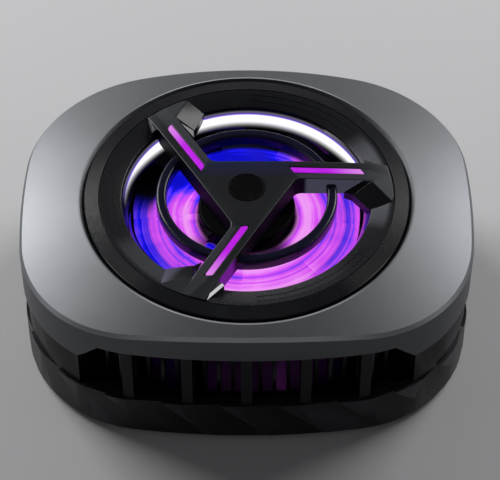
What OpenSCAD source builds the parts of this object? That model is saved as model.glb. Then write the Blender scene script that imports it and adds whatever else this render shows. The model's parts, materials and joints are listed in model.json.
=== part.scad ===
// Phone cooling fan: a rounded casing with a fan behind a three-armed grille, a finned heat sink
// over a thermoelectric module, and a magnetic contact face underneath.
// The origin is the middle of the face that rests on the phone. Z is up and X runs along the width.

/* [Casing] */
// Width of the casing, left to right
case_w = 76; // [74:0.5:80]
// Depth of the casing, front to back
case_d = 62; // [61.5:0.5:66]
// Height of the intake rim above the contact face
rim_z = 27; // [26:0.5:31]
// Radius of the long arc along the front and the back
front_arc_r = 130; // [110:5:160]
// Radius of the long arc along each side
side_arc_r = 124; // [100:4:150]
// Radius of the casing's corners
corner_r = 22; // [20:0.5:24]
// Radius of the domed top
dome_r = 155; // [140:5:190]
// Wall of the cover's skirt and of the base shell
wall = 1.8; // [1.5:0.1:2]
// Gap between pieces that fit into each other
fit_gap = 0.1; // [0.05:0.05:0.2]

/* [Cover] */
// Radius of the intake rim
rim_r = 28; // [27.5:0.25:28.25]
// Width of the chamfer inside the rim
rim_chamfer = 0.65; // [0.4:0.05:0.8]
// Thickness of the roof at the rim
roof_t = 2.6; // [2.3:0.1:3]
// Drop from the rim to the skirt's edge over the vents
skirt_front_drop = 5.9; // [5.7:0.1:7]
// Drop from the rim to the skirt's edge at the sides
skirt_side_drop = 10.1; // [9:0.1:12]
// Half width of the skirt's notch at its top
notch_half = 24; // [22.5:0.5:25]
// Half width of the skirt's notch at its mouth
notch_mouth_half = 27.5; // [26.5:0.5:28]

/* [Base shell] */
// Thickness of the silicone faces under the base
pad_t = 0.4; // [0.3:0.1:0.8]
// Thickness of the floor
floor_t = 1.2; // [1:0.1:1.6]
// Skin left under the magnets
magnet_skin = 0.4; // [0.3:0.1:0.6]
// Height of the faceted band's upper edge
band_top_z = 9; // [8.6:0.1:10]
// Width of the bevel under the band
band_bevel = 0.8; // [0.4:0.1:1.2]
// Number of slanted facets around the band
facet_count = 24; // [16:1:32]
// Depth of a facet at its low edge
facet_depth = 0.5; // [0.3:0.1:0.8]
// Lean of the facets from upright, in degrees
facet_lean = 45; // [30:5:55]
// How far the side walls stand back from the band
side_inset = 0.5; // [0.3:0.1:0.8]
// Height of the tongue that runs up inside the skirt
tongue_h = 2; // [1.5:0.1:2.5]
// Thickness of the tongue
tongue_t = 1.2; // [1:0.1:1.5]

/* [Corner posts] */
// Distance of a corner post from the side of the casing
post_x = 9.4; // [9:0.2:9.8]
// Distance of a corner post from the front or the back of the casing
post_y = 10; // [9.6:0.2:11]
// Radius of a corner post
post_r = 2.2; // [2.1:0.1:2.4]
// Radius of a corner screw's shank
base_screw_r = 1; // [0.8:0.05:1.1]
// Radius of a corner screw's head
base_head_r = 1.7; // [1.5:0.05:1.8]
// Height of a corner screw's head
base_head_h = 1.3; // [1:0.1:1.6]
// Depth of the well that a corner screw's head sits in
screw_well = 9; // [6:0.5:11]
// Depth that a corner screw enters the cover
screw_bite = 4.6; // [3:0.2:5]

/* [Vents] */
// Number of pillars in a vent
pillar_count = 5; // [3:1:5]
// Width of a pillar
pillar_w = 1.8; // [1.2:0.1:2.4]
// Distance from one pillar to the next
pillar_pitch = 9.7; // [8:0.1:10]
// How far the pillars stand back from the band
pillar_inset = 0.5; // [0.3:0.1:0.8]
// Thickness of the rails that join the pillars
rail_t = 1.5; // [1.2:0.1:1.8]
// Height of the lower rail
rail_h = 1.6; // [1:0.1:1.7]
// Length of rail past the last pillar
rail_end = 4; // [2:0.5:4.5]

/* [Grille] */
// Height of the hub's flat above the rim
hub_rise = 1.8; // [1.4:0.1:2.2]
// Fall of an arm's top for each millimetre outwards
arm_slope = 0.04; // [0.02:0.01:0.06]
// Distance of an arm's outer edge line from the fan's axis
arm_edge = 6.2; // [5.8:0.1:6.6]
// Width of an arm
arm_w = 4.15; // [3.8:0.05:4.6]
// Drop from the rim to the underside of the arms
arm_drop = 2.1; // [1.9:0.1:2.4]
// Outer radius of the funnel, where it meets the bezel ring
funnel_r = 24.76; // [24.3:0.05:25.2]
// Height of the funnel's outer edge above the rim
funnel_rise = 0.43; // [0.2:0.05:0.7]
// Radius of the funnel's lip
lip_r = 21; // [20.8:0.1:21.5]
// Drop from the rim to the lip
lip_drop = 0.3; // [0.1:0.05:0.5]
// Thickness of the lip
lip_t = 0.5; // [0.4:0.05:0.6]
// Outer radius of the hoop
hoop_r = 15.1; // [14:0.1:16]
// Thickness of the hoop across
hoop_t = 1.4; // [1:0.1:1.8]
// Height of the hoop
hoop_h = 2.2; // [1.6:0.1:2.3]
// Height of the hoop's top above the rim
hoop_rise = 0.3; // [0.2:0.05:0.5]
// Distance along an arm at which its shoulder starts
shoulder_in = 20.3; // [19.5:0.1:21]
// Distance along an arm at which its shoulder ends
shoulder_out = 24.2; // [23.6:0.1:24.6]
// How far a shoulder reaches past the arm's middle line
shoulder_side = 2.3; // [1.6:0.1:3]
// Run of the shoulder's ramp at an arm's end
ramp_run = 3.4; // [2.8:0.1:4]
// Fall of the shoulder's ramp
ramp_fall = 2; // [1.4:0.1:2.2]
// Thickness of the grille's clamping flange
flange_t = 1; // [0.8:0.1:1.2]
// Radius of the round inlay on the hub
inlay_r = 3.2; // [2.4:0.1:3.8]
// Thickness of the inlay
inlay_t = 0.5; // [0.3:0.1:0.7]

/* [Bezel ring] */
// Thickness of the bezel ring at its outer edge
bezel_t = 0.7; // [0.5:0.1:0.9]
// Number of fine grooves in the bezel ring
groove_count = 5; // [3:1:6]
// Depth of a groove
groove_depth = 0.1; // [0.05:0.05:0.2]
// Width of a groove
groove_w = 0.2; // [0.1:0.05:0.3]

/* [Light strips] */
// Distance of a strip's inner end along its arm
strip_in = 7.7; // [7.2:0.1:8.5]
// Distance of a strip's outer end along its arm
strip_out = 19.4; // [18:0.1:19.8]
// Width of a strip
strip_w = 1.2; // [0.8:0.05:1.4]
// Slant of a strip's ends
strip_slant = 0.6; // [0.2:0.1:1]
// Depth of the pocket under the arms
pocket_h = 1.95; // [1.8:0.05:2.1]
// Width of the pocket under the arms
pocket_w = 2.4; // [2.2:0.1:2.6]
// Distance of the pocket's outer end along its arm
pocket_out = 18.6; // [18.4:0.1:18.8]
// Radius of the pocket under the hub
pocket_r = 5.2; // [4.9:0.1:5.6]
// Thickness of the grille's back plate
back_t = 0.7; // [0.5:0.05:0.75]
// Thickness of the grille's light board
light_board_t = 0.6; // [0.4:0.05:0.65]
// Number of LEDs under a strip
strip_led_count = 3; // [2:1:4]
// Length and width of an LED under a strip
strip_led_w = 1; // [0.8:0.05:1.2]

/* [Duct] */
// Thickness of the duct's wall
duct_wall = 1.2; // [1:0.1:1.4]
// Height over which the duct's mouth flares
flare_h = 4.2; // [3.6:0.1:4.8]
// Thickness of the duct's flange
duct_flange_t = 1.2; // [1:0.1:1.4]
// Distance of a flange ear from the middle, across
ear_x = 31; // [30.6:0.1:31.6]
// Distance of a flange ear from the middle, front to back
ear_y = 7.5; // [6:0.25:8.5]
// Radius of a flange ear
ear_r = 2.2; // [2:0.1:2.4]
// Radius of a small screw's shank
small_screw_r = 0.8; // [0.6:0.05:0.9]
// Radius of a small screw's head
small_head_r = 1.4; // [1.2:0.05:1.5]
// Height of a small screw's head
small_head_h = 0.8; // [0.6:0.05:0.85]
// Depth that a flange screw enters the cover
flange_bite = 1.2; // [0.8:0.1:1.3]

/* [Fan] */
// Radius of the blade tips
tip_r = 19.2; // [18.4:0.1:19.4]
// Running gap between the blade tips and the duct
tip_gap = 0.4; // [0.35:0.05:0.6]
// Number of blades
blade_count = 9; // [7:1:11]
// Thickness of a blade
blade_t = 0.6; // [0.5:0.05:0.8]
// Height of a blade along the axis
blade_h = 4.7; // [4:0.1:4.8]
// Width of a blade around the axis, along its tip
blade_w = 18.4; // [15:0.2:21]
// Radius of a blade's camber along its tip
blade_camber_r = 80; // [70:5:120]
// Radius of the fan's hub
hub_r = 8.2; // [8:0.1:8.8]
// Height of the fan's hub
hub_h = 5.4; // [5.2:0.1:6]
// Wall of the fan's hub
hub_wall = 0.6; // [0.5:0.05:0.7]
// Rounding of the hub's upper edge
hub_round = 0.5; // [0.3:0.05:0.55]
// Running gap over and under the rotor
rotor_gap = 0.6; // [0.5:0.05:0.8]

/* [Motor] */
// Thickness of the fan frame
frame_t = 1.5; // [1.4:0.1:2]
// Radius of the motor seat
seat_r = 10.4; // [10:0.1:11]
// Width of a frame strut
strut_w = 2.2; // [1.6:0.1:3]
// Radius of the ring of frame screws
frame_screw_ring = 21.9; // [21.8:0.05:22.1]
// Radius of a frame screw's boss
frame_boss_r = 1.5; // [1.3:0.05:1.6]
// Radius of the shaft
shaft_r = 1; // [0.8:0.05:1.1]
// Running clearance of the shaft in its bearings
shaft_clear = 0.03; // [0.02:0.01:0.05]
// Outer radius of a bearing
bearing_r = 2; // [1.9:0.05:2.2]
// Length of a bearing
bearing_h = 1.7; // [1.4:0.1:1.8]
// Wall of the bearing tube
tube_wall = 0.7; // [0.5:0.05:0.8]
// Thickness of the thrust cap and of the shaft clip
cap_t = 0.3; // [0.2:0.05:0.35]
// Thickness of the rotor's steel yoke
yoke_t = 0.45; // [0.4:0.05:0.5]
// Thickness of the rotor magnet
rotor_magnet_t = 0.65; // [0.5:0.05:0.7]
// Air gap between the rotor magnet and the stator
air_gap = 0.35; // [0.3:0.05:0.45]
// Height of the stator's iron
core_h = 1.6; // [1.2:0.1:1.7]
// Number of stator poles
pole_count = 4; // [3:1:4]
// Width of a stator pole
pole_w = 1.3; // [1:0.1:1.4]
// Width of the stator's inner ring
core_ring_w = 0.9; // [0.7:0.05:1]
// Thickness of a pole's shoe
shoe_t = 0.7; // [0.5:0.05:0.8]
// Build of the copper on each side of a pole
coil_t = 0.45; // [0.3:0.05:0.5]
// Thickness of the motor board
motor_board_t = 0.8; // [0.6:0.1:1]
// Number of LEDs around the motor
fan_led_count = 8; // [6:1:10]
// Length and width of an LED around the motor
fan_led_w = 1.2; // [1:0.1:1.3]
// Height of an LED
led_h = 0.45; // [0.35:0.05:0.5]

/* [Heat sink] */
// Thickness of the heat sink's base
sink_base_t = 1.8; // [1.5:0.1:2.2]
// Number of fins
fin_count = 21; // [17:2:21]
// Distance from one fin to the next
fin_pitch = 2.3; // [2.1:0.05:2.35]
// Thickness of a fin
fin_t = 0.6; // [0.4:0.05:0.8]
// Gap between the fins and the fan frame
fin_gap = 0.3; // [0.2:0.05:0.5]
// Gap between the heat sink and the vents
sink_gap = 1; // [0.9:0.05:1.2]
// Angle of the heat sink's screw posts from the X axis
sink_post_angle = 41.3; // [40:0.5:44]
// Radius of the heat sink's screw posts
sink_post_r = 1.6; // [1.4:0.05:1.7]

/* [Cooling module] */
// Width of the thermoelectric module
module_w = 30; // [28:0.5:30]
// Thickness of a ceramic plate
ceramic_t = 0.6; // [0.5:0.05:0.8]
// Height of the pellets
pellet_h = 1.6; // [1.5:0.05:2]
// Width of a pellet
pellet_w = 1.4; // [1:0.1:1.8]
// Number of pellets along a side
pellet_count = 9; // [6:1:10]
// Radius of the module's leads
lead_r = 0.4; // [0.3:0.05:0.45]
// Distance of a lead from the middle
lead_x = 7; // [6.4:0.1:8]
// Radius of the contact plate
plate_r = 20; // [19:0.1:20.2]
// Width of the contact plate's flange
plate_flange_w = 1.6; // [1.4:0.1:1.8]
// Thickness of the contact plate's flange
plate_flange_t = 0.8; // [0.7:0.05:1]
// Outer radius of the insulation ring
foam_r = 22.4; // [22:0.05:22.5]
// Least width of the foam beside the module
foam_w = 0.7; // [0.5:0.05:0.75]

/* [Magnets] */
// Inner radius of the magnet ring
magnet_in_r = 23.2; // [23:0.1:23.5]
// Width of the magnet ring
magnet_w = 4; // [3.5:0.1:4.2]
// Thickness of a magnet
magnet_t = 1.4; // [1.2:0.1:1.6]
// Number of magnets
magnet_count = 18; // [12:1:24]
// Angle left open between magnets
magnet_space = 2; // [1:0.5:4]
// Thickness of the shield ring
shield_t = 0.3; // [0.2:0.05:0.4]
// How far the shield and the grip ring overhang the magnets
shield_over = 0.2; // [0.1:0.05:0.3]
// How far the grip ring overhangs the magnets
grip_over = 0.8; // [0.4:0.1:1]

/* [Main board and socket] */
// Width of the main board
board_w = 27; // [26:0.5:29]
// Thickness of the main board
board_t = 1; // [0.8:0.1:1.1]
// Distance of a board screw from the middle
board_screw_x = 11.4; // [11:0.1:11.8]
// Length and width of the control chip
chip_w = 2.2; // [1.6:0.1:2.4]
// Height of the control chip
chip_h = 0.9; // [0.6:0.1:1.2]
// Length and width of the board's coil
board_coil_w = 1.6; // [1.2:0.1:2]
// Height of the board's coil
board_coil_h = 0.8; // [0.6:0.1:1.2]
// Length and width of a capacitor
capacitor_w = 0.8; // [0.5:0.1:0.9]
// Height of a capacitor
capacitor_h = 0.5; // [0.3:0.1:0.8]
// Outer width of the charging socket
socket_w = 8.94; // [8.8:0.02:9]
// Outer height of the charging socket
socket_h = 3.2; // [3.1:0.02:3.3]
// Depth of the charging socket
socket_d = 7.3; // [6.8:0.1:7.4]
// Wall of the charging socket
socket_wall = 0.3; // [0.2:0.02:0.35]
// How far the socket's mouth stands back from the casing
socket_back = 0.5; // [0.3:0.1:0.9]
// Width of the socket's tongue
tongue_w = 6.7; // [6.4:0.05:6.9]
// Thickness of the socket's tongue
tongue_plate_t = 0.7; // [0.6:0.02:0.8]
// Length of the socket's tongue
tongue_len = 5; // [4:0.1:5.6]

/* [Hidden] */

// Curves are drawn with this many sides, and the long arcs with more
$fn = 64;
arc_fn = 360;
// Length of a cut that runs past what it cuts
past = 1;
// Colours, as the object shows them
cover_grey = [0.36, 0.37, 0.39];
satin_black = [0.09, 0.09, 0.1];
gloss_black = [0.03, 0.03, 0.035];
base_black = [0.12, 0.12, 0.13];
strip_magenta = [0.85, 0.15, 0.95];
lit_violet = [0.55, 0.3, 0.95];
metal_grey = [0.7, 0.71, 0.73];
steel_grey = [0.5, 0.5, 0.52];
copper_red = [0.72, 0.43, 0.25];
brass_yellow = [0.75, 0.62, 0.32];
ceramic_white = [0.9, 0.9, 0.88];
board_black = [0.06, 0.1, 0.08];
silicone_black = [0.07, 0.07, 0.08];
foam_grey = [0.3, 0.3, 0.32];
led_white = [0.95, 0.93, 0.98];

// Outline of the casing: four long arcs joined by tangent corner arcs
front_centre = [0, case_d / 2 - front_arc_r];
side_centre = [case_w / 2 - side_arc_r, 0];
centre_span = norm(side_centre - front_centre);
centre_dir = (side_centre - front_centre) / centre_span;
front_reach = front_arc_r - corner_r;
side_reach = side_arc_r - corner_r;
corner_along = (front_reach ^ 2 - side_reach ^ 2 + centre_span ^ 2) / (2 * centre_span);
corner_across = sqrt(front_reach ^ 2 - corner_along ^ 2);
corner_centre = front_centre + corner_along * centre_dir
    + corner_across * [centre_dir.y, -centre_dir.x];
front_turn = atan2(corner_centre.y - front_centre.y, corner_centre.x - front_centre.x);
side_turn = atan2(corner_centre.y - side_centre.y, corner_centre.x - side_centre.x);
side_run = side_arc_r * side_turn * PI / 180;
corner_run = corner_r * (front_turn - side_turn) * PI / 180;
front_run = front_arc_r * (90 - front_turn) * PI / 180;
quarter_run = side_run + corner_run + front_run;

// Direction that the outline faces at a distance along its first quarter
function facing(run) =
    run < side_run ? run / side_arc_r * 180 / PI
    : run < side_run + corner_run ? side_turn + (run - side_run) / corner_r * 180 / PI
    : front_turn + (run - side_run - corner_run) / front_arc_r * 180 / PI;
// Point of the outline that faces a direction in the first quarter
function outline_point(turn) =
    turn < side_turn ? side_centre + side_arc_r * [cos(turn), sin(turn)]
    : turn < front_turn ? corner_centre + corner_r * [cos(turn), sin(turn)]
    : front_centre + front_arc_r * [cos(turn), sin(turn)];

// Directions of the outline's points in the first quarter, from the middle of a side to the front's
side_steps = 3;
corner_steps = 12;
front_steps = 4;
outline_turns = concat(
    [for (i = [0:side_steps - 1]) side_turn * i / side_steps],
    [for (i = [0:corner_steps - 1]) side_turn + (front_turn - side_turn) * i / corner_steps],
    [for (i = [0:front_steps]) front_turn + (90 - front_turn) * i / front_steps]
);

// Heights
base_z = pad_t;
floor_z = base_z + floor_t;
module_z = floor_z + plate_flange_t;
pellet_z = module_z + ceramic_t;
hot_z = pellet_z + pellet_h;
sink_z = hot_z + ceramic_t;
fin_z = sink_z + sink_base_t;
ceiling_z = rim_z - roof_t;
skirt_front_z = rim_z - skirt_front_drop;
skirt_side_z = rim_z - skirt_side_drop;
joint_z = skirt_side_z + tongue_h;
grille_z = ceiling_z - flange_t;
duct_flange_z = grille_z - duct_flange_t;
arm_z = rim_z - arm_drop;
hub_z = rim_z + hub_rise;
lip_z = rim_z - lip_drop;
bezel_z = rim_z - bezel_t;
hub_top_z = arm_z - rotor_gap;
hub_low_z = hub_top_z - hub_h;
blade_z = hub_top_z - rotor_gap / 2 - blade_h;
motor_board_z = hub_low_z - rotor_gap - motor_board_t;
frame_z = motor_board_z - frame_t;
fin_top_z = frame_z - fin_gap;
magnet_z = base_z + magnet_skin;
shield_z = magnet_z + magnet_t;
board_z = max(shield_z + shield_t, floor_z) + fit_gap;
socket_z = board_z + board_t + socket_h / 2;
duct_top_z = lip_z - lip_t - fit_gap / 2;

// Radii and places
bore_r = rim_r - rim_chamfer;
bezel_out_r = bore_r - fit_gap;
flange_r = case_d / 2 - wall - 3 * fit_gap;
throat_r = tip_r + tip_gap;
duct_out_r = throat_r + duct_wall;
mouth_out_r = lip_r + duct_wall;
flare_z = duct_top_z - flare_h;
flare_run = lip_r - throat_r;
flare_r = (flare_run ^ 2 + flare_h ^ 2) / (2 * flare_run);
arm_mid = arm_edge - arm_w / 2;
arm_r = funnel_r - fit_gap;
dome_z = rim_z - sqrt(dome_r ^ 2 - rim_r ^ 2);
vent_back = wall + fit_gap + rail_t;
sink_inset = vent_back + sink_gap;
rail_half = (pillar_count - 1) / 2 * pillar_pitch + pillar_w / 2 + rail_end;
sink_half = (fin_count - 1) / 2 * fin_pitch + fin_t / 2;
magnet_out_r = magnet_in_r + magnet_w;
sink_post_ring = magnet_out_r + shield_over + 3 * fit_gap + sink_post_r;
sink_post = sink_post_ring * [cos(sink_post_angle), sin(sink_post_angle)];
socket_y = case_d / 2 - socket_back;
post_place = [case_w / 2 - post_x, case_d / 2 - post_y];
board_y = case_d / 2 - wall - board_t - small_head_r;
yoke_r = hub_r - hub_wall - fit_gap / 2;
rotor_magnet_r = yoke_r - yoke_t - fit_gap / 2;
core_r = rotor_magnet_r - rotor_magnet_t - air_gap;
tube_r = bearing_r + tube_wall;
core_ring_r = tube_r + core_ring_w;
tube_top_z = hub_top_z - 2 * (hub_wall + yoke_t) - rotor_gap / 2;
core_z = (motor_board_z + motor_board_t + coil_t + tube_top_z - coil_t - core_h) / 2 + 3 * fit_gap;
clip_z = frame_z + cap_t + 2 * fit_gap;
lower_bearing_z = clip_z + cap_t + 2 * fit_gap;
upper_bearing_z = tube_top_z - bearing_h;
led_ring_r = hub_r + fan_led_w;

// Places in all four quarters
module in_quarters() {
    for (side = [0, 1], end = [0, 1]) {
        mirror([side, 0, 0])
            mirror([0, end, 0])
                children();
    }
}

// Plan of the casing, drawn in by an even inset
module case_plan(inset) {
    quarter = [for (turn = outline_turns) outline_point(turn) - inset * [cos(turn), sin(turn)]];
    last = len(quarter) - 1;
    polygon(concat(
        [for (i = [0:last - 1]) quarter[i]],
        [for (i = [last:-1:1]) [-quarter[i].x, quarter[i].y]],
        [for (i = [0:last - 1]) -quarter[i]],
        [for (i = [last:-1:1]) [quarter[i].x, -quarter[i].y]]
    ));
}

// Upright block with the casing's plan
module case_block(low_z, high_z, inset) {
    translate([0, 0, low_z])
        linear_extrude(high_z - low_z)
            case_plan(inset);
}

// Wall that follows the casing's plan between two insets
module case_wall(low_z, high_z, outer_inset, inner_inset) {
    translate([0, 0, low_z])
        linear_extrude(high_z - low_z)
            difference() {
                case_plan(outer_inset);
                case_plan(inner_inset);
            }
}

// Foot of the casing, drawn in at the bottom by a bevel of 45 degrees
module bevelled_foot(low_z, size) {
    hull() {
        case_block(low_z, low_z + size / 2, size);
        case_block(low_z + size, low_z + 3 * size / 2, 0);
    }
}

// Screw with its head down and a six-sided recess
module screw(head_r, head_h, shank_r, length) {
    difference() {
        union() {
            cylinder(h = head_h, r = head_r);
            cylinder(h = head_h + length, r = shank_r);
        }
        translate([0, 0, -past])
            cylinder(h = past + head_h / 2, r = head_r / 2, $fn = 6);
    }
}

// Ring of rectangular section
module ring(low_z, height, inner_r, outer_r) {
    translate([0, 0, low_z])
        rotate_extrude()
            translate([inner_r, 0])
                square([outer_r - inner_r, height]);
}

// Places of the flange ears
module at_ears() {
    in_quarters()
        translate([ear_x, ear_y])
            children();
}

// Flange with four ears around a round hole
module eared_flange(low_z, height, inner_r) {
    translate([0, 0, low_z])
        linear_extrude(height)
            difference() {
                union() {
                    circle(flange_r, $fn = 2 * $fn);
                    at_ears()
                        circle(ear_r);
                    in_quarters()
                        translate([0, ear_y - ear_r])
                            square([ear_x, 2 * ear_r]);
                }
                circle(inner_r, $fn = 2 * $fn);
                at_ears()
                    circle(small_screw_r + fit_gap);
            }
}

// Cover

module corner_bosses() {
    in_quarters()
        translate([post_place.x, post_place.y, joint_z])
            cylinder(h = ceiling_z - joint_z + past, r = post_r);
}

// Cut that opens the skirt over the vents, front and back
module skirt_notch() {
    reach = case_d / 2 + past;
    translate([0, reach, 0])
        rotate([90, 0, 0])
            linear_extrude(2 * reach)
                polygon([
                    [-notch_mouth_half, skirt_side_z - past],
                    [notch_mouth_half, skirt_side_z - past],
                    [notch_mouth_half, skirt_side_z],
                    [notch_half, skirt_front_z],
                    [-notch_half, skirt_front_z],
                    [-notch_mouth_half, skirt_side_z]
                ]);
}

module top_cover() {
    color(cover_grey)
        difference() {
            intersection() {
                case_block(skirt_side_z, rim_z + past, 0);
                translate([0, 0, dome_z])
                    sphere(dome_r, $fn = arc_fn);
            }
            difference() {
                case_block(skirt_side_z - past, ceiling_z, wall);
                corner_bosses();
            }
            skirt_notch();
            translate([0, 0, ceiling_z - past])
                cylinder(h = roof_t + 2 * past, r = bore_r, $fn = 2 * $fn);
            translate([0, 0, rim_z - rim_chamfer])
                cylinder(h = rim_chamfer + past, r1 = bore_r, r2 = rim_r + past, $fn = 2 * $fn);
            in_quarters()
                translate([post_place.x, post_place.y, joint_z - past])
                    cylinder(h = screw_bite + 2 * fit_gap + past, r = base_screw_r + fit_gap / 2);
            translate([0, 0, ceiling_z - past])
                linear_extrude(past + flange_bite + fit_gap)
                    at_ears()
                        circle(small_screw_r + fit_gap / 2);
        }
}

module bezel_ring() {
    inner_r = funnel_r + fit_gap;
    fall = funnel_rise / (bezel_out_r - inner_r);
    space = (bezel_out_r - inner_r) / (groove_count + 1);
    color(satin_black)
        rotate_extrude($fn = 2 * $fn)
            difference() {
                polygon([
                    [inner_r, bezel_z],
                    [bezel_out_r, bezel_z],
                    [bezel_out_r, rim_z],
                    [inner_r, rim_z + funnel_rise]
                ]);
                for (i = [1:groove_count])
                    translate([inner_r + i * space, rim_z + funnel_rise - i * space * fall])
                        square([groove_w, 2 * groove_depth], center = true);
            }
}

// Grille

module arm_places() {
    for (i = [0:2])
        rotate(120 * i)
            children();
}

// Point turned about the fan's axis
function turned(point, turn) = [
    point.x * cos(turn) - point.y * sin(turn),
    point.x * sin(turn) + point.y * cos(turn)
];

// Plan of the hub and the three arms: from each corner between two arms, out along one edge and back
module spider_plan() {
    low = arm_edge - arm_w;
    reach = funnel_r + past;
    corner = [(arm_edge + low * sin(30)) / cos(30), low];
    polygon([
        for (i = [0:2], point = [corner, [reach, low], [reach, arm_edge]])
            turned(point, 120 * i)
    ]);
}

// Turned block whose top is the flat of the hub and the fall of the arms
module spider_top(low_z) {
    rotate_extrude($fn = 2 * $fn)
        polygon([
            [0, low_z],
            [arm_r, low_z],
            [arm_r, hub_z - arm_slope * (arm_r - arm_edge)],
            [arm_edge, hub_z],
            [0, hub_z]
        ]);
}

// Flared shoulder beside the outer end of an arm, with a ramp that faces the fan
module shoulder() {
    start = [shoulder_in, arm_edge - arm_w];
    end = [shoulder_out, -shoulder_side];
    lean = atan2(end.y - start.y, end.x - start.x);
    reach = norm(end - start) + 2 * past;
    top_z = hub_z - arm_slope * (arm_r - arm_edge) - fit_gap / 2;
    intersection() {
        translate([start.x, start.y, 0])
            rotate(lean)
                translate([-2 * past, 0, 0])
                    rotate([90, 0, 90])
                        linear_extrude(reach + past)
                            polygon([
                                [-ramp_run, arm_z],
                                [funnel_r - lip_r, arm_z],
                                [funnel_r - lip_r, top_z],
                                [0, top_z],
                                [-ramp_run, top_z - ramp_fall]
                            ]);
        translate([0, 0, arm_z])
            cylinder(h = hub_z - arm_z, r = arm_r - fit_gap / 2, $fn = 2 * $fn);
        translate([0, arm_edge - arm_w / 2 - funnel_r, arm_z])
            cube([funnel_r, funnel_r, hub_z - arm_z]);
    }
}

// Shallow turned ring between the bezel ring and the duct
module funnel() {
    rotate_extrude($fn = 2 * $fn)
        polygon([
            [lip_r, lip_z],
            [funnel_r, rim_z + funnel_rise],
            [funnel_r, bezel_z],
            [bezel_out_r, bezel_z],
            [bezel_out_r, grille_z],
            [mouth_out_r + fit_gap, grille_z],
            [mouth_out_r + fit_gap, lip_z - lip_t],
            [lip_r, lip_z - lip_t]
        ]);
}

// Plan of the pocket that holds the lights, narrower by a gap on each side
module pocket_plan(gap) {
    circle(pocket_r - gap);
    arm_places()
        translate([0, arm_mid - pocket_w / 2 + gap])
            square([pocket_out - gap, pocket_w - 2 * gap]);
}

// Plan of the three light strips, wider by a gap on each side
module strip_plan(gap) {
    half = strip_w / 2 + gap;
    lean = strip_slant / 2;
    arm_places()
        translate([0, arm_mid])
            polygon([
                [strip_in + lean - gap, -half],
                [strip_out + lean + gap, -half],
                [strip_out - lean + gap, half],
                [strip_in - lean - gap, half]
            ]);
}

module grille() {
    color(satin_black)
        difference() {
            union() {
                intersection() {
                    translate([0, 0, arm_z])
                        linear_extrude(hub_z - arm_z + past)
                            spider_plan();
                    spider_top(arm_z - past);
                }
                arm_places()
                    shoulder();
                ring(rim_z + hoop_rise - hoop_h, hoop_h, hoop_r - hoop_t, hoop_r, $fn = 2 * $fn);
                funnel();
                eared_flange(grille_z, flange_t, mouth_out_r + fit_gap);
            }
            translate([0, 0, arm_z - past])
                linear_extrude(pocket_h + past)
                    pocket_plan(0);
            translate([0, 0, arm_z + pocket_h - fit_gap / 2])
                linear_extrude(hub_z - arm_z)
                    strip_plan(fit_gap / 2);
            translate([0, 0, hub_z - inlay_t])
                cylinder(h = inlay_t + past, r = inlay_r + fit_gap / 2);
            ring(duct_flange_z, duct_top_z - duct_flange_z + fit_gap / 4, lip_r - duct_wall, mouth_out_r + fit_gap);
        }
}

module light_strips() {
    color(strip_magenta)
        intersection() {
            translate([0, 0, arm_z + pocket_h])
                linear_extrude(hub_z - arm_z)
                    strip_plan(0);
            spider_top(arm_z);
        }
}

module hub_inlay() {
    color(gloss_black)
        translate([0, 0, hub_z - inlay_t])
            cylinder(h = inlay_t, r = inlay_r);
}

module grille_back_plate() {
    color(satin_black)
        translate([0, 0, arm_z])
            linear_extrude(back_t)
                pocket_plan(fit_gap);
}

module grille_light_board() {
    color(board_black)
        translate([0, 0, arm_z + back_t])
            linear_extrude(light_board_t)
                pocket_plan(2 * fit_gap);
}

module grille_leds() {
    board_top_z = arm_z + back_t + light_board_t;
    room = pocket_h - back_t - light_board_t - fit_gap;
    space = (strip_out - strip_in) / strip_led_count;
    color(led_white)
        arm_places()
            for (i = [0:strip_led_count - 1])
                translate([strip_in + (i + 0.5) * space, arm_mid, board_top_z + room / 2])
                    cube([strip_led_w, strip_led_w, room], center = true);
}

// Duct

// Air way through the duct, which flares out to the lip along an arc
module air_way() {
    rotate_extrude($fn = 2 * $fn) {
        translate([0, motor_board_z - past])
            square([throat_r, duct_top_z - motor_board_z + 2 * past]);
        difference() {
            translate([0, flare_z])
                square([lip_r, flare_h + past]);
            translate([throat_r + flare_r, flare_z])
                circle(flare_r, $fn = arc_fn);
        }
    }
}

module intake_duct() {
    mouth_z = min(flare_z, duct_flange_z);
    color(gloss_black)
        difference() {
            union() {
                translate([0, 0, motor_board_z])
                    linear_extrude(duct_flange_z - motor_board_z + fit_gap) {
                        circle(duct_out_r, $fn = 2 * $fn);
                        frame_screw_places()
                            circle(frame_boss_r);
                    }
                translate([0, 0, mouth_z])
                    cylinder(h = duct_top_z - mouth_z, r = mouth_out_r, $fn = 2 * $fn);
                eared_flange(duct_flange_z, duct_flange_t, throat_r);
            }
            air_way();
            frame_screw_places()
                translate([0, 0, motor_board_z - past])
                    cylinder(h = past + screw_bite - 3 * fit_gap, r = small_screw_r + fit_gap / 2);
        }
}

module flange_screws() {
    length = duct_flange_t + flange_t + flange_bite;
    color(steel_grey)
        at_ears()
            translate([0, 0, duct_flange_z - small_head_h])
                screw(small_head_r, small_head_h, small_screw_r, length);
}

// Fan frame and motor

module frame_screw_places() {
    for (i = [0:2])
        rotate(60 + 120 * i)
            translate([frame_screw_ring, 0])
                children();
}

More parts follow.
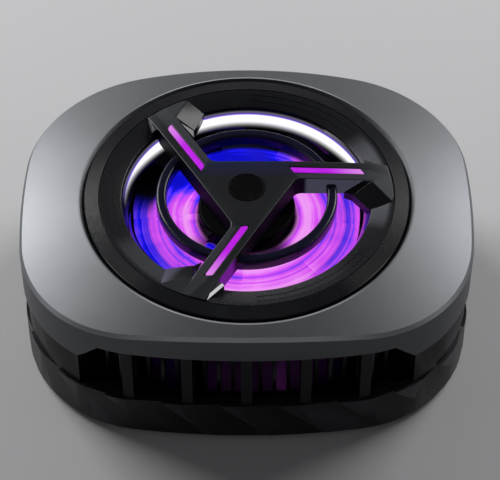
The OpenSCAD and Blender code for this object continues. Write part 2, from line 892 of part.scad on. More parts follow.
module fan_frame() {
    color(satin_black)
        difference() {
            translate([0, 0, frame_z])
                linear_extrude(frame_t)
                    difference() {
                        union() {
                            circle(seat_r);
                            difference() {
                                union() {
                                    circle(duct_out_r, $fn = 2 * $fn);
                                    frame_screw_places()
                                        circle(frame_boss_r + 2 * fit_gap);
                                }
                                circle(throat_r, $fn = 2 * $fn);
                            }
                            for (i = [0:2])
                                rotate(120 * i)
                                    translate([0, -strut_w / 2])
                                        square([throat_r + duct_wall / 2, strut_w]);
                        }
                        circle(tube_r + fit_gap / 2);
                        frame_screw_places()
                            circle(small_screw_r + fit_gap);
                    }
            frame_screw_places()
                translate([0, 0, frame_z - past])
                    cylinder(h = past + small_head_h, r = small_head_r + fit_gap);
        }
}

module frame_screws() {
    length = frame_t - small_head_h + screw_bite - 5 * fit_gap;
    color(steel_grey)
        frame_screw_places()
            translate([0, 0, frame_z])
                screw(small_head_r, small_head_h, small_screw_r, length);
}

module bearing_tube() {
    color(brass_yellow)
        ring(frame_z, tube_top_z - frame_z, bearing_r + fit_gap / 4, tube_r);
}

module bearing(low_z) {
    color(copper_red)
        ring(low_z, bearing_h, shaft_r + shaft_clear, bearing_r);
}

module upper_bearing() {
    bearing(upper_bearing_z);
}

module lower_bearing() {
    bearing(lower_bearing_z);
}

module thrust_cap() {
    color(steel_grey)
        translate([0, 0, frame_z])
            cylinder(h = cap_t, r = bearing_r);
}

// Plan of the stator's iron: a ring, its poles and their shoes
module core_plan() {
    difference() {
        union() {
            circle(core_ring_r);
            intersection() {
                circle(core_r);
                for (i = [0:pole_count - 1])
                    rotate(360 / pole_count * i)
                        translate([0, -pole_w / 2])
                            square([core_r + past, pole_w]);
            }
            intersection() {
                difference() {
                    circle(core_r);
                    circle(core_r - shoe_t);
                }
                for (i = [0:pole_count - 1])
                    rotate(360 / pole_count * i)
                        translate([0, -core_r / 2])
                            square([core_r + past, core_r]);
            }
        }
        circle(tube_r + fit_gap / 2);
    }
}

module stator_core() {
    color(steel_grey)
        translate([0, 0, core_z])
            linear_extrude(core_h)
                core_plan();
}

module stator_coils() {
    inner = core_ring_r + fit_gap;
    length = core_r - shoe_t - inner - 3 * fit_gap;
    color(copper_red)
        for (i = [0:pole_count - 1])
            rotate(360 / pole_count * i)
                translate([inner, 0, core_z + core_h / 2])
                    rotate([0, 90, 0])
                        linear_extrude(length)
                            difference() {
                                square([core_h + 2 * coil_t, pole_w + 2 * coil_t], center = true);
                                square([core_h + fit_gap, pole_w + fit_gap], center = true);
                            }
}

module motor_board() {
    color(board_black)
        ring(motor_board_z, motor_board_t, tube_r + fit_gap, seat_r - fit_gap);
}

module fan_leds() {
    color(led_white)
        for (i = [0:fan_led_count - 1])
            rotate(360 / fan_led_count * i)
                translate([led_ring_r, 0, motor_board_z + motor_board_t + led_h / 2])
                    cube([fan_led_w, fan_led_w, led_h], center = true);
}

// Rotor

// One cambered blade that points along X: an arc of even thickness, drawn out along the radius
module blade() {
    steps = 9;
    root_r = hub_r - hub_wall / 2;
    turn = blade_w / tip_r * 180 / PI;
    camber = blade_w * blade_w / (8 * blade_camber_r);
    function height(share) = (blade_h - blade_t) * share + 4 * camber * share * (1 - share);
    function place(radius, share, lift) = [
        radius * cos(turn * (share - 0.5)),
        radius * sin(turn * (share - 0.5)),
        height(share) + lift
    ];
    points = [
        for (i = [0:steps], lift = [0, blade_t], radius = [root_r, tip_r])
            place(radius, i / steps, lift)
    ];
    last = 4 * steps;
    strips = [
        for (i = [0:4:last - 4], face = [
            [i, i + 1, i + 5],
            [i, i + 5, i + 4],
            [i + 2, i + 6, i + 7],
            [i + 2, i + 7, i + 3],
            [i + 4, i + 6, i + 2, i],
            [i + 1, i + 3, i + 7, i + 5]
        ]) face
    ];
    polyhedron(points, concat(strips, [[0, 2, 3, 1], [last, last + 1, last + 3, last + 2]]), convexity = 4);
}

module hub_cup() {
    inner_r = hub_r - hub_wall;
    rotate_extrude($fn = 2 * $fn)
        difference() {
            union() {
                translate([0, hub_low_z])
                    square([hub_r, hub_h - hub_round]);
                square_top = hub_top_z - hub_round;
                translate([0, square_top])
                    square([hub_r - hub_round, hub_round]);
                translate([hub_r - hub_round, square_top])
                    intersection() {
                        circle(hub_round);
                        square(hub_round);
                    }
            }
            translate([2 * shaft_r, hub_low_z - past])
                square([inner_r - 2 * shaft_r, hub_h + past - 2 * hub_wall]);
            translate([0, hub_low_z - past])
                square([2 * shaft_r, tube_top_z + rotor_gap / 2 - hub_low_z + past]);
            translate([0, hub_low_z])
                square([shaft_r + shaft_clear, hub_h - hub_wall]);
        }
}

module impeller() {
    color(lit_violet)
        union() {
            hub_cup();
            for (i = [0:blade_count - 1])
                rotate(360 / blade_count * i)
                    translate([0, 0, blade_z])
                        blade();
        }
}

module rotor_yoke() {
    top_z = hub_top_z - 2 * hub_wall - fit_gap / 2;
    color(steel_grey) {
        rotate_extrude()
            union() {
                translate([2 * shaft_r + fit_gap, top_z - yoke_t])
                    square([yoke_r - 2 * shaft_r - fit_gap, yoke_t]);
                translate([yoke_r - yoke_t, hub_low_z + fit_gap])
                    square([yoke_t, top_z - hub_low_z - fit_gap]);
            }
    }
}

module rotor_magnet() {
    top_z = hub_top_z - 2 * hub_wall - yoke_t - fit_gap;
    color(foam_grey)
        ring(hub_low_z + fit_gap, top_z - hub_low_z - fit_gap,
            rotor_magnet_r - rotor_magnet_t, rotor_magnet_r);
}

module shaft() {
    low_z = frame_z + cap_t + fit_gap;
    high_z = hub_top_z - hub_wall - fit_gap / 2;
    color(metal_grey)
        difference() {
            translate([0, 0, low_z])
                cylinder(h = high_z - low_z, r = shaft_r);
            ring(clip_z - fit_gap / 4, cap_t + fit_gap / 2, shaft_r - cap_t, 2 * shaft_r);
        }
}

module shaft_clip() {
    color(steel_grey)
        ring(clip_z, cap_t, shaft_r - cap_t + fit_gap / 4, shaft_r + cap_t);
}

// Heat sink and cooling module

module sink_posts(radius) {
    in_quarters()
        translate(sink_post)
            circle(radius);
}

module heat_sink() {
    notch_half_w = socket_w / 2 + 6 * fit_gap;
    notch_y = socket_y - socket_d - 3 * fit_gap;
    notch_top = socket_z + socket_h / 2 + 3 * fit_gap;
    color(metal_grey)
        difference() {
            intersection() {
                union() {
                    translate([-sink_half, -case_d / 2, sink_z])
                        cube([2 * sink_half, case_d, sink_base_t]);
                    for (i = [0:fin_count - 1])
                        translate([-sink_half + i * fin_pitch, -case_d / 2, sink_z])
                            cube([fin_t, case_d, fin_top_z - sink_z]);
                }
                case_block(sink_z - past, fin_top_z + past, sink_inset);
            }
            translate([-notch_half_w, notch_y, sink_z - past])
                cube([2 * notch_half_w, case_d, notch_top - sink_z + past]);
            in_quarters()
                translate([post_place.x, post_place.y, sink_z - past])
                    cylinder(h = fin_top_z, r = post_r + 3 * fit_gap);
            in_quarters()
                translate([sink_post.x, sink_post.y, sink_z - past]) {
                    cylinder(h = sink_base_t + 2 * past, r = small_screw_r + fit_gap);
                    translate([0, 0, past + sink_base_t])
                        cylinder(h = fin_top_z, r = small_head_r + 2 * fit_gap);
                }
        }
}

module sink_screws() {
    length = fin_z - floor_z - 3 * fit_gap;
    color(steel_grey)
        in_quarters()
            translate([sink_post.x, sink_post.y, fin_z + small_head_h])
                rotate([180, 0, 0])
                    screw(small_head_r, small_head_h, small_screw_r, length);
}

module square_plate(low_z, height) {
    translate([-module_w / 2, -module_w / 2, low_z])
        cube([module_w, module_w, height]);
}

module module_hot_plate() {
    color(ceramic_white)
        square_plate(hot_z, ceramic_t);
}

module module_cold_plate() {
    color(ceramic_white)
        square_plate(module_z, ceramic_t);
}

module module_pellets() {
    space = module_w / pellet_count;
    color(steel_grey)
        for (column = [0:pellet_count - 1], row = [0:pellet_count - 1])
            translate([
                -module_w / 2 + (column + 0.5) * space,
                -module_w / 2 + (row + 0.5) * space,
                pellet_z + pellet_h / 2
            ])
                cube([pellet_w, pellet_w, pellet_h], center = true);
}

// Two bores or two leads that run from the module to the main board
module lead_runs(radius, start_y, end_y) {
    lead_z = board_z + board_t + lead_r + fit_gap / 2;
    for (side = [-1, 1])
        translate([side * lead_x, end_y, lead_z])
            rotate([90, 0, 0])
                cylinder(h = end_y - start_y, r = radius);
}

module module_leads() {
    color(copper_red)
        lead_runs(lead_r, module_w / 2 + fit_gap, foam_r + 2 * lead_r);
}

module insulation_ring() {
    shield_in_r = magnet_in_r - shield_over;
    color(foam_grey)
        difference() {
            translate([0, 0, module_z])
                linear_extrude(sink_z - module_z)
                    difference() {
                        union() {
                            circle(foam_r, $fn = 2 * $fn);
                            square(module_w + 2 * foam_w, center = true);
                        }
                        square(module_w + 2 * fit_gap, center = true);
                    }
            lead_runs(lead_r + fit_gap, 0, foam_r + past);
            ring(shield_z, shield_t + 2 * fit_gap, shield_in_r - 2 * fit_gap, magnet_out_r, $fn = 2 * $fn);
        }
}

module contact_plate() {
    color(metal_grey)
        union() {
            translate([0, 0, base_z])
                cylinder(h = floor_t + plate_flange_t, r = plate_r, $fn = 2 * $fn);
            translate([0, 0, floor_z])
                cylinder(h = plate_flange_t, r = plate_r + plate_flange_w, $fn = 2 * $fn);
        }
}

module contact_pad() {
    color(silicone_black)
        cylinder(h = pad_t, r = plate_r, $fn = 2 * $fn);
}

module grip_ring() {
    color(silicone_black)
        ring(0, pad_t, magnet_in_r - grip_over, magnet_out_r + grip_over, $fn = 2 * $fn);
}

module magnets() {
    step = 360 / magnet_count;
    color(metal_grey)
        for (i = [0:magnet_count - 1])
            rotate(i * step)
                translate([0, 0, magnet_z])
                    rotate_extrude(angle = step - magnet_space, $fn = 2 * $fn)
                        translate([magnet_in_r, 0])
                            square([magnet_w, magnet_t]);
}

module shield_ring() {
    color(steel_grey)
        ring(shield_z, shield_t, magnet_in_r - shield_over, magnet_out_r + shield_over, $fn = 2 * $fn);
}

// Base shell

// Wedge that cuts one slanted facet into the outline at a point that faces a direction
module facet_wedge(point, turn) {
    width = 4 * quarter_run / facet_count * cos(facet_lean);
    length = 3 * band_top_z;
    translate([point.x, point.y, (base_z + band_top_z) / 2])
        rotate([0, 0, turn])
            rotate([facet_lean, 0, 0])
                translate([0, 0, -length / 2])
                    linear_extrude(length)
                        polygon([
                            [0, -width / 2],
                            [-facet_depth, width / 2],
                            [facet_depth, width / 2],
                            [facet_depth, -width / 2]
                        ]);
}

module facet_wedges() {
    step = 4 * quarter_run / facet_count;
    for (i = [0:facet_count - 1]) {
        run = (i + 0.5) * step;
        quarter = floor(run / quarter_run);
        left = run - quarter * quarter_run;
        mirrored = quarter % 2 == 1;
        turn = facing(mirrored ? quarter_run - left : left);
        point = outline_point(turn);
        flip = quarter == 1 || quarter == 2 ? -1 : 1;
        rise = quarter > 1 ? -1 : 1;
        facet_wedge([flip * point.x, rise * point.y], atan2(rise * sin(turn), flip * cos(turn)));
    }
}

// Hole in the rear wall for the charging socket, with a gap all round
module socket_hole(gap) {
    translate([0, case_d / 2 + past, socket_z])
        rotate([90, 0, 0])
            linear_extrude(wall + 3 * past)
                slot_plan(socket_w + 2 * gap, socket_h + 2 * gap);
}

// Slot with half-round ends
module slot_plan(width, height) {
    square([width - height, height], center = true);
    for (side = [-1, 1])
        translate([side * (width - height) / 2, 0])
            circle(height / 2);
}

// Side walls above the band, with the tongue that runs up inside the skirt
module side_walls() {
    intersection() {
        union() {
            case_wall(band_top_z - past, skirt_side_z - fit_gap, side_inset, wall + side_inset);
            case_wall(band_top_z - past, joint_z, wall + fit_gap, wall + fit_gap + tongue_t);
        }
        in_quarters()
            translate([notch_mouth_half + fit_gap, -past, 0])
                cube([case_w, case_d, joint_z]);
    }
}

module corner_posts() {
    intersection() {
        in_quarters()
            translate([post_place.x, post_place.y, base_z + fit_gap])
                cylinder(h = joint_z - base_z - fit_gap, r = post_r);
        union() {
            case_block(base_z, skirt_side_z - fit_gap, wall / 2 + side_inset);
            case_block(base_z, joint_z + past, wall + fit_gap);
        }
    }
}

module base_shell() {
    color(base_black)
        difference() {
            union() {
                difference() {
                    union() {
                        bevelled_foot(base_z, band_bevel);
                        case_block(base_z + band_bevel, band_top_z, 0);
                    }
                    facet_wedges();
                    case_block(floor_z, band_top_z + past, wall);
                }
                side_walls();
                corner_posts();
                translate([0, 0, floor_z - fit_gap])
                    linear_extrude(sink_z - floor_z + fit_gap)
                        sink_posts(sink_post_r);
                board_posts();
            }
            translate([0, 0, base_z - past])
                cylinder(h = floor_t + 2 * past, r = plate_r + fit_gap, $fn = 2 * $fn);
            ring(magnet_z, magnet_t + past, magnet_in_r - fit_gap, magnet_out_r + fit_gap, $fn = 2 * $fn);
            in_quarters()
                translate([post_place.x, post_place.y, base_z - past]) {
                    cylinder(h = joint_z, r = base_screw_r + 2 * fit_gap);
                    cylinder(h = screw_well + past, r = base_head_r + fit_gap);
                    cylinder(h = joint_z + 2 * past, r = base_screw_r + fit_gap);
                }
            translate([0, 0, floor_z + fit_gap])
                linear_extrude(sink_z)
                    sink_posts(small_screw_r + fit_gap / 2);
            board_screw_places()
                translate([0, 0, floor_z])
                    cylinder(h = board_z, r = small_screw_r + fit_gap / 2);
            socket_hole(fit_gap);
        }
}

module base_screws() {
    length = joint_z + screw_bite - base_z - screw_well;
    color(steel_grey)
        in_quarters()
            translate([post_place.x, post_place.y, base_z + screw_well - base_head_h])
                screw(base_head_r, base_head_h, base_screw_r, length);
}

// Vents

module vent() {
    bars = [for (i = [0:pillar_count - 1]) (i - (pillar_count - 1) / 2) * pillar_pitch];
    intersection() {
        union() {
            case_wall(band_top_z - rail_h, band_top_z, wall + fit_gap, vent_back);
            case_wall(skirt_front_z - fit_gap, duct_flange_z - fit_gap, wall + fit_gap, vent_back);
        }
        translate([-rail_half, -case_d, 0])
            cube([2 * rail_half, case_d, rim_z]);
    }
    intersection() {
        case_wall(band_top_z, skirt_front_z - fit_gap, pillar_inset, vent_back);
        for (x = bars)
            translate([x - pillar_w / 2, -case_d, 0])
                cube([pillar_w, case_d, rim_z]);
    }
}

module front_vent() {
    color(satin_black)
        vent();
}

module rear_vent() {
    color(satin_black)
        mirror([0, 1, 0])
            vent();
}

// Main board and socket

module board_screw_places() {
    for (side = [-1, 1])
        translate([side * board_screw_x, board_y])
            children();
}

// Posts that carry the main board
module board_posts() {
    board_screw_places()
        translate([0, 0, floor_z - fit_gap])
            cylinder(h = board_z - floor_z + fit_gap, r = small_head_r);
}

module main_board() {
    color(board_black)
        translate([0, 0, board_z])
            linear_extrude(board_t)
                difference() {
                    intersection() {
                        translate([-board_w / 2, 0])
                            square([board_w, case_d]);
                        case_plan(wall + 2 * fit_gap);
                    }
                    circle(foam_r + 3 * fit_gap, $fn = 2 * $fn);
                    board_screw_places()
                        circle(small_screw_r + fit_gap);
                }
}

module board_screws() {
    length = board_z + board_t - floor_z - fit_gap;
    color(steel_grey)
        board_screw_places()
            translate([0, 0, board_z + board_t + small_head_h])
                rotate([180, 0, 0])
                    screw(small_head_r, small_head_h, small_screw_r, length);
}

// Control chip, coil and capacitors on the main board
module board_parts() {
    top_z = board_z + board_t;
    chip_y = board_y - small_head_r - chip_w - 3 * fit_gap;
    capacitor_y = chip_y - 2 * capacitor_w - 5 * fit_gap;
    color(gloss_black) {
        translate([-board_screw_x + small_head_r + fit_gap, chip_y, top_z])
            cube([chip_w, chip_w, chip_h]);
        translate([board_screw_x - small_head_r - board_coil_w - fit_gap, chip_y, top_z])
            cube([board_coil_w, board_coil_w, board_coil_h]);
        for (side = [-1, 1])
            translate([side * board_screw_x - capacitor_w / 2, capacitor_y, top_z])
                cube([capacitor_w, capacitor_w, capacitor_h]);
    }
}

module socket_shell() {
    color(metal_grey)
        translate([0, socket_y, socket_z])
            rotate([90, 0, 0])
                difference() {
                    linear_extrude(socket_d)
                        slot_plan(socket_w, socket_h);
                    translate([0, 0, -past])
                        linear_extrude(socket_d - socket_wall + past)
                            slot_plan(socket_w - 2 * socket_wall, socket_h - 2 * socket_wall);
                }
}

module socket_tongue() {
    back_y = socket_y - socket_d + socket_wall;
    color(gloss_black)
        translate([-tongue_w / 2, back_y, socket_z - tongue_plate_t / 2])
            cube([tongue_w, tongue_len, tongue_plate_t]);
}

top_cover();
bezel_ring();
grille();
light_strips();
hub_inlay();
grille_light_board();
grille_leds();
grille_back_plate();
intake_duct();
flange_screws();
fan_frame();
frame_screws();
bearing_tube();
upper_bearing();
lower_bearing();
thrust_cap();
stator_core();
stator_coils();
motor_board();
fan_leds();
impeller();
rotor_yoke();
rotor_magnet();
shaft();
shaft_clip();
heat_sink();
sink_screws();
module_hot_plate();
module_pellets();
module_cold_plate();
module_leads();
insulation_ring();
contact_plate();
contact_pad();
grip_ring();
magnets();
shield_ring();
base_shell();
base_screws();
front_vent();
rear_vent();
main_board();
board_parts();
board_screws();
socket_shell();
socket_tongue();
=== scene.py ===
"""Looks of a phone cooling fan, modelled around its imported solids.

Sizes are in metres, in the frame of the solids: +Z up, the contact face on the ground.
"""

import json
import math

import bmesh
import bpy
from bpy.props import FloatProperty, FloatVectorProperty, IntProperty, PointerProperty
from mathutils import Matrix, Vector


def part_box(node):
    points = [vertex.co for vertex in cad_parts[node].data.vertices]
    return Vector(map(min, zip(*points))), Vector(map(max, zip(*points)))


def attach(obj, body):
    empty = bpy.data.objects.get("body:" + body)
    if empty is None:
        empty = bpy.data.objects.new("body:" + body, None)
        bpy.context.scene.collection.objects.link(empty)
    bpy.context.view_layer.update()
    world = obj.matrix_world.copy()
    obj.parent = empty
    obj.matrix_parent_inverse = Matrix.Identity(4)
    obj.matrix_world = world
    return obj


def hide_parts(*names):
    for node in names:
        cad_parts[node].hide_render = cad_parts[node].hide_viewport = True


bl_info = {
    "name": "Phone Cooling Fan",
    "version": (1, 0, 0),
    "blender": (4, 5, 0),
    "location": "View3D > Sidebar > Cooling Fan",
    "description": "Models the looks of a phone cooling fan around its solids",
    "category": "Object",
}

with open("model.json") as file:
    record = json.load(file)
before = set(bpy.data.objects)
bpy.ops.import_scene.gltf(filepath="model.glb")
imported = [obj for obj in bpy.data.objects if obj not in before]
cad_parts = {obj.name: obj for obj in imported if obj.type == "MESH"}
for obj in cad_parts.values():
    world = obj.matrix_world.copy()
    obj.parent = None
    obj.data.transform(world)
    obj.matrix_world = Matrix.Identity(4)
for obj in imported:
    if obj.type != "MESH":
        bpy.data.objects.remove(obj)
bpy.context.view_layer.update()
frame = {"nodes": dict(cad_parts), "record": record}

MM = 0.001
UP = Vector((0, 0, 1))
MIDDLE = Vector((0, 0, 0))
TURN = 2 * math.pi
ARM_ANGLES = [0, TURN / 3, 2 * TURN / 3]
SHARP_ANGLE = math.radians(32)
MERGE_GAP = 0.002 * MM
SOFT_EDGE = 0.14 * MM


# Sizes and colours that a user would change


def length(name, description, millimetres):
    """A length, given in millimetres and kept in metres."""
    return FloatProperty(
        name=name, description=description, default=millimetres * MM, unit="LENGTH", precision=5
    )


def tint(name, description, colour):
    """A colour in linear light."""
    return FloatVectorProperty(
        name=name, description=description, default=colour, subtype="COLOR", min=0, max=1
    )


class CasingSizes(bpy.types.PropertyGroup):
    front_arc: length("Front Arc", "Radius of the outline at the front and the back", 130)
    side_arc: length("Side Arc", "Radius of the outline at the sides", 124)
    corner_arc: length("Corner Arc", "Radius of the outline at the corners", 22)
    wall: length("Wall", "Thickness of the cover", 1.8)
    dome_arc: length("Dome Arc", "Radius of the domed top", 155)
    rim_r: length("Rim Radius", "Outer radius of the bright edge around the opening", 28)
    bore_r: length("Bore Radius", "Radius of the opening", 27.35)
    rim_w: length("Rim Width", "Width of the bright edge on the dome", 0.26)
    edge_inset: length("Edge Inset", "Width of the bright edge around the top", 0.46)
    edge_drop: length("Edge Drop", "Height of the bright edge around the top", 0.72)
    notch_z: length("Notch Height", "Height of the skirt's edge over the vents", 21.1)
    notch_half: length("Notch Half Width", "Half the width of the skirt's notch at its top", 24)
    notch_mouth: length("Notch Mouth", "Half the width of the skirt's notch at its mouth", 27.5)
    steps: IntProperty(name="Steps", description="Points around the outline", default=320, min=64)


class GrilleSizes(bpy.types.PropertyGroup):
    arm_edge: length("Arm Edge", "Distance of an arm's far edge from the middle line", 6.2)
    arm_w: length("Arm Width", "Width of an arm", 4.15)
    arm_reach: length("Arm Reach", "Distance of an arm's end from the middle", 24.66)
    arm_root: length("Arm Root", "Distance from the middle where an arm begins to fall", 7)
    arm_fall: length("Arm Fall", "How far an arm falls to its end", 0.72)
    arm_bend: length("Arm Bend", "Distance from the middle where an arm's end begins to dip", 20.6)
    arm_dip: length("Arm Dip", "How far an arm's end dips to meet the bezel", 0.62)
    corner_round: length("Corner Round", "Radius of the corner between two arms", 0.9)
    hub_drop: length("Hub Drop", "How far the hub stands below its inlay", 0.08)
    strip_in: length("Strip Start", "Distance of a light strip's inner end from the middle", 7.7)
    strip_out: length("Strip End", "Distance of a light strip's outer end from the middle", 19.4)
    strip_w: length("Strip Width", "Width of a light strip", 0.95)
    strip_slant: length("Strip Slant", "Slant of a light strip's ends", 0.6)
    shoulder_in: length("Shoulder Start", "Distance where the shoulder leaves its arm", 20.95)
    shoulder_run: length("Shoulder Run", "Length of the shoulder's upper edge", 5.2)
    shoulder_lean: FloatProperty(
        name="Shoulder Lean",
        description="Turn of the shoulder's edge off its arm",
        default=0.89,
        subtype="ANGLE",
    )
    ramp_in: length("Ramp Start", "Distance of the ramp's inner corner from the middle", 17.75)
    ramp_side: length("Ramp Side", "Distance of the ramp's inner corner from the middle line", 0.2)
    ramp_run: length("Ramp Run", "Length of the ramp's lower edge", 4.6)
    ramp_fall: length("Ramp Fall", "Height of the shoulder's ramp", 1.65)
    flare_in: length("Flare Start", "Distance of the flare's inner end from the middle", 19.8)
    flare_out: length("Flare End", "Distance of the flare's outer end from the middle", 23.6)
    flare_w: length("Flare Width", "Width of the flare's top", 0.75)
    flare_edge: length("Flare Edge", "Width and height of the flare's slanted edge", 0.4)
    hoop_in: length("Hoop Inside", "Inner radius of the hoop", 13.5)
    hoop_out: length("Hoop Outside", "Outer radius of the hoop", 15.2)
    hoop_low: length("Hoop Underside", "Height of the hoop's underside", 25.1)
    hoop_top: length("Hoop Top", "Height of the hoop's top", 27.3)
    lip_r: length("Lip Radius", "Inner radius of the funnel", 21)
    lip_z: length("Lip Height", "Height of the funnel's inner edge", 26.7)
    grooves: IntProperty(name="Grooves", description="Grooves in the bezel", default=9, min=1)


class FanSizes(bpy.types.PropertyGroup):
    blades: IntProperty(name="Blades", description="Number of blades", default=9, min=2)
    blade_angle: FloatProperty(
        name="Blade Angle",
        description="Part of a turn that a blade covers",
        default=0.958,
        subtype="ANGLE",
    )
    blade_t: length("Blade Thickness", "Thickness of a blade", 0.6)
    blade_low: length("Blade Underside", "Height of the blades' lower edges", 19.3)
    blade_rise: length("Blade Rise", "Height that a blade climbs", 4.1)
    blade_camber: length("Blade Camber", "How far a blade bulges between its edges", 0.53)
    hub_r: length("Hub Radius", "Radius of the fan's hub", 8.2)
    hub_round: length("Hub Round", "Radius of the hub's top edge", 0.5)


class Colours(bpy.types.PropertyGroup):
    cover: tint("Cover", "Grey satin metal", (0.193, 0.2, 0.212))
    moulding: tint("Moulding", "Charcoal satin plastic", (0.0105, 0.0112, 0.0135))
    polished: tint("Polished", "Gloss black plastic", (0.006, 0.006, 0.0075))
    band: tint("Band", "Plastic of the base", (0.009, 0.009, 0.0105))
    strip: tint("Strip", "Light of the strips", (0.43, 0.004, 0.67))
    strip_end: tint("Strip End", "Light at a strip's outer end", (0.62, 0.2, 0.7))
    # The glow colours and the glow's strength are those of the fan's painted light
    glow_back: tint("Back Glow", "Light on the fan at the back left", (0.006, 0.006, 0.86))
    glow_side: tint("Side Glow", "Light on the fan between back and front", (0.14, 0.04, 0.8))
    glow_front: tint("Front Glow", "Light on the fan at the front", (0.68, 0.08, 0.88))
    glow_core: tint("Core Glow", "Light on the fan where it is brightest", (0.92, 0.34, 0.98))
    glow: FloatProperty(name="Glow", description="Strength of the fan's light", default=1, min=0)


# Shader expressions


class Value:
    """An output socket that takes part in expressions."""

    def __init__(self, finish, socket):
        self.finish = finish
        self.socket = socket

    def math(self, operation, *others):
        inputs = dict(enumerate((self, *others)))
        return self.finish.node("ShaderNodeMath", {"operation": operation}, inputs)

    def __add__(self, other):
        return self.math("ADD", other)

    def __sub__(self, other):
        return self.math("SUBTRACT", other)

    def __rsub__(self, other):
        return self.finish.node("ShaderNodeMath", {"operation": "SUBTRACT"}, {0: other, 1: self})

    def __mul__(self, other):
        return self.math("MULTIPLY", other)

    def __truediv__(self, other):
        return self.math("DIVIDE", other)

    __radd__ = __add__
    __rmul__ = __mul__

    def between(self, low, high):
        """0 below low, 1 above high, with a smooth step between them."""
        settings = {"interpolation_type": "SMOOTHSTEP", "clamp": True}
        inputs = {"Value": self, "From Min": low, "From Max": high}
        return self.finish.node("ShaderNodeMapRange", settings, inputs)

    def below(self, low, high):
        """1 below low, 0 above high."""
        return 1 - self.between(low, high)

    def band(self, low, start, end, high):
        """1 from start to end, 0 below low and above high."""
        return self.between(low, start) * self.below(end, high)


class Finish:
    """A material that is put together from nodes; sizes of its patterns are in millimetres."""

    def __init__(self, name):
        self.material = bpy.data.materials.new(name)
        self.material.use_nodes = True
        self.tree = self.material.node_tree
        self.tree.nodes.clear()
        self.place = self.node("ShaderNodeTexCoord", output="Object")
        axes = [self.node("ShaderNodeSeparateXYZ", {}, {0: self.place}, axis) for axis in "XYZ"]
        self.x, self.y, self.z = axes

    def node(self, kind, settings=None, inputs=None, output=0):
        """Any node: its settings first, then the values or links of its sockets."""
        made = self.tree.nodes.new(kind)
        for name, value in (settings or {}).items():
            if name == "stops":
                self.set_stops(made.color_ramp, value)
            else:
                setattr(made, name, value)
        for name, value in (inputs or {}).items():
            if isinstance(value, Value):
                self.tree.links.new(value.socket, made.inputs[name])
            else:
                made.inputs[name].default_value = value
        return Value(self, made.outputs[output]) if len(made.outputs) else None

    @staticmethod
    def set_stops(ramp, stops):
        while len(ramp.elements) < len(stops):
            ramp.elements.new(1)
        for element, (position, colour) in zip(ramp.elements, stops):
            element.position = position
            element.color = (*colour, 1)

    def mix(self, factor, first, second):
        """From the first colour to the second as the factor goes from 0 to 1."""
        pair = [tone if isinstance(tone, Value) else (*tone, 1) for tone in (first, second)]
        return self.node("ShaderNodeMix", {"data_type": "RGBA"}, {0: factor, 6: pair[0], 7: pair[1]}, 2)

    def scaled(self, colour, factor):
        """A colour times a number that changes over the surface."""
        return self.node("ShaderNodeVectorMath", {"operation": "SCALE"}, {0: colour, "Scale": factor})

    def noise(self, grain, detail=2.0, place=None):
        """Cloudy noise with features of about the given size."""
        inputs = {"Vector": place or self.place, "Scale": 1 / (grain * MM), "Detail": detail}
        return self.node("ShaderNodeTexNoise", {}, inputs)

    def cells(self, grain, feature="F1"):
        inputs = {"Vector": self.place, "Scale": 1 / (grain * MM)}
        return self.node("ShaderNodeTexVoronoi", {"feature": feature}, inputs)

    def point(self, x, y, z):
        return self.node("ShaderNodeCombineXYZ", {}, {0: x, 1: y, 2: z})

    def radius(self):
        return (self.x * self.x + self.y * self.y).math("SQRT")

    def facing(self, degrees):
        """1 on the side of the middle that the angle points at, -1 on the far side."""
        angle = math.radians(degrees)
        return (self.x * math.cos(angle) + self.y * math.sin(angle)) / (self.radius() + 1e-5)

    def towards(self, degrees, low, high):
        """1 where the surface faces the angle by more than high, 0 where by less than low."""
        return self.facing(degrees).between(low, high)

    def bump(self, height, depth):
        inputs = {"Height": height, "Distance": depth * MM, "Strength": 1.0}
        return self.node("ShaderNodeBump", {}, inputs)

    def shader(self, **sockets):
        """The shader itself; a socket's spaces are written as low lines."""
        inputs = {}
        for name, value in sockets.items():
            inputs[name.replace("_", " ").title().replace("Ior", "IOR")] = value
        made = self.node("ShaderNodeBsdfPrincipled", {}, inputs)
        self.node("ShaderNodeOutputMaterial", {}, {"Surface": made})
        return self

    def surface(self, tone, colours, grain, roughness, depth=0.0, **sockets):
        """Two colours mixed by the tone, with a roughness and a bump that follow the grain."""
        least, spread = roughness
        sockets["base_color"] = self.mix(tone, *colours)
        sockets["roughness"] = least + spread * grain
        if depth:
            sockets["normal"] = self.bump(grain, depth)
        if "emission_color" in sockets:
            sockets.setdefault("emission_strength", 1.0)
        return self.shader(**sockets)


# Finishes


def deeper(colour, share):
    return tuple(share * part for part in colour)


def shades(colour, *shares):
    return [deeper(colour, share) for share in shares]


def cover_metal(name, colour):
    """Satin metal with a fine sparkle."""
    finish = Finish(name)
    grain = finish.noise(0.16, 3)
    drift = finish.noise(14)
    return finish.surface(drift, shades(colour, 0.9, 1.1), grain, (0.36, 0.1), 0.012, metallic=0.95)


def moulded(name, colour, roughness, grain_size, depth, shine=0.22, painted_tint=None, painted_sheen=None):
    """Moulded plastic with a fine grain, paler along its edges: partly wear, partly a painted
    highlight.

    A painted tint colours it and a painted sheen lights it, each in its own place and with its own
    colour.
    """
    finish = Finish(name)
    grain = finish.noise(grain_size, 3)
    body = finish.mix(finish.noise(40 * grain_size), *shades(colour, 0.85, 1.15))
    sockets = {"specular_ior_level": shine}
    if painted_tint:
        place, light = painted_tint
        body = finish.mix(place(finish), body, light)
    if painted_sheen:
        place, light = painted_sheen
        sockets["emission_color"] = finish.scaled(light, place(finish))
    # Paler edges: partly wear, partly a painted highlight
    edge = finish.node("ShaderNodeNewGeometry", output="Pointiness").between(0.5, 0.56)
    pair = (body, deeper(colour, 3.5))
    return finish.surface(edge, pair, grain, (roughness - 0.05, 0.1), depth, **sockets)


def hub_painted_glow_mask(finish):
    """Where a blue glow is painted on the hub: 1 along the back of the grille's hub."""
    return finish.y.between(1.5 * MM, 6 * MM) * finish.radius().below(7 * MM, 11 * MM)


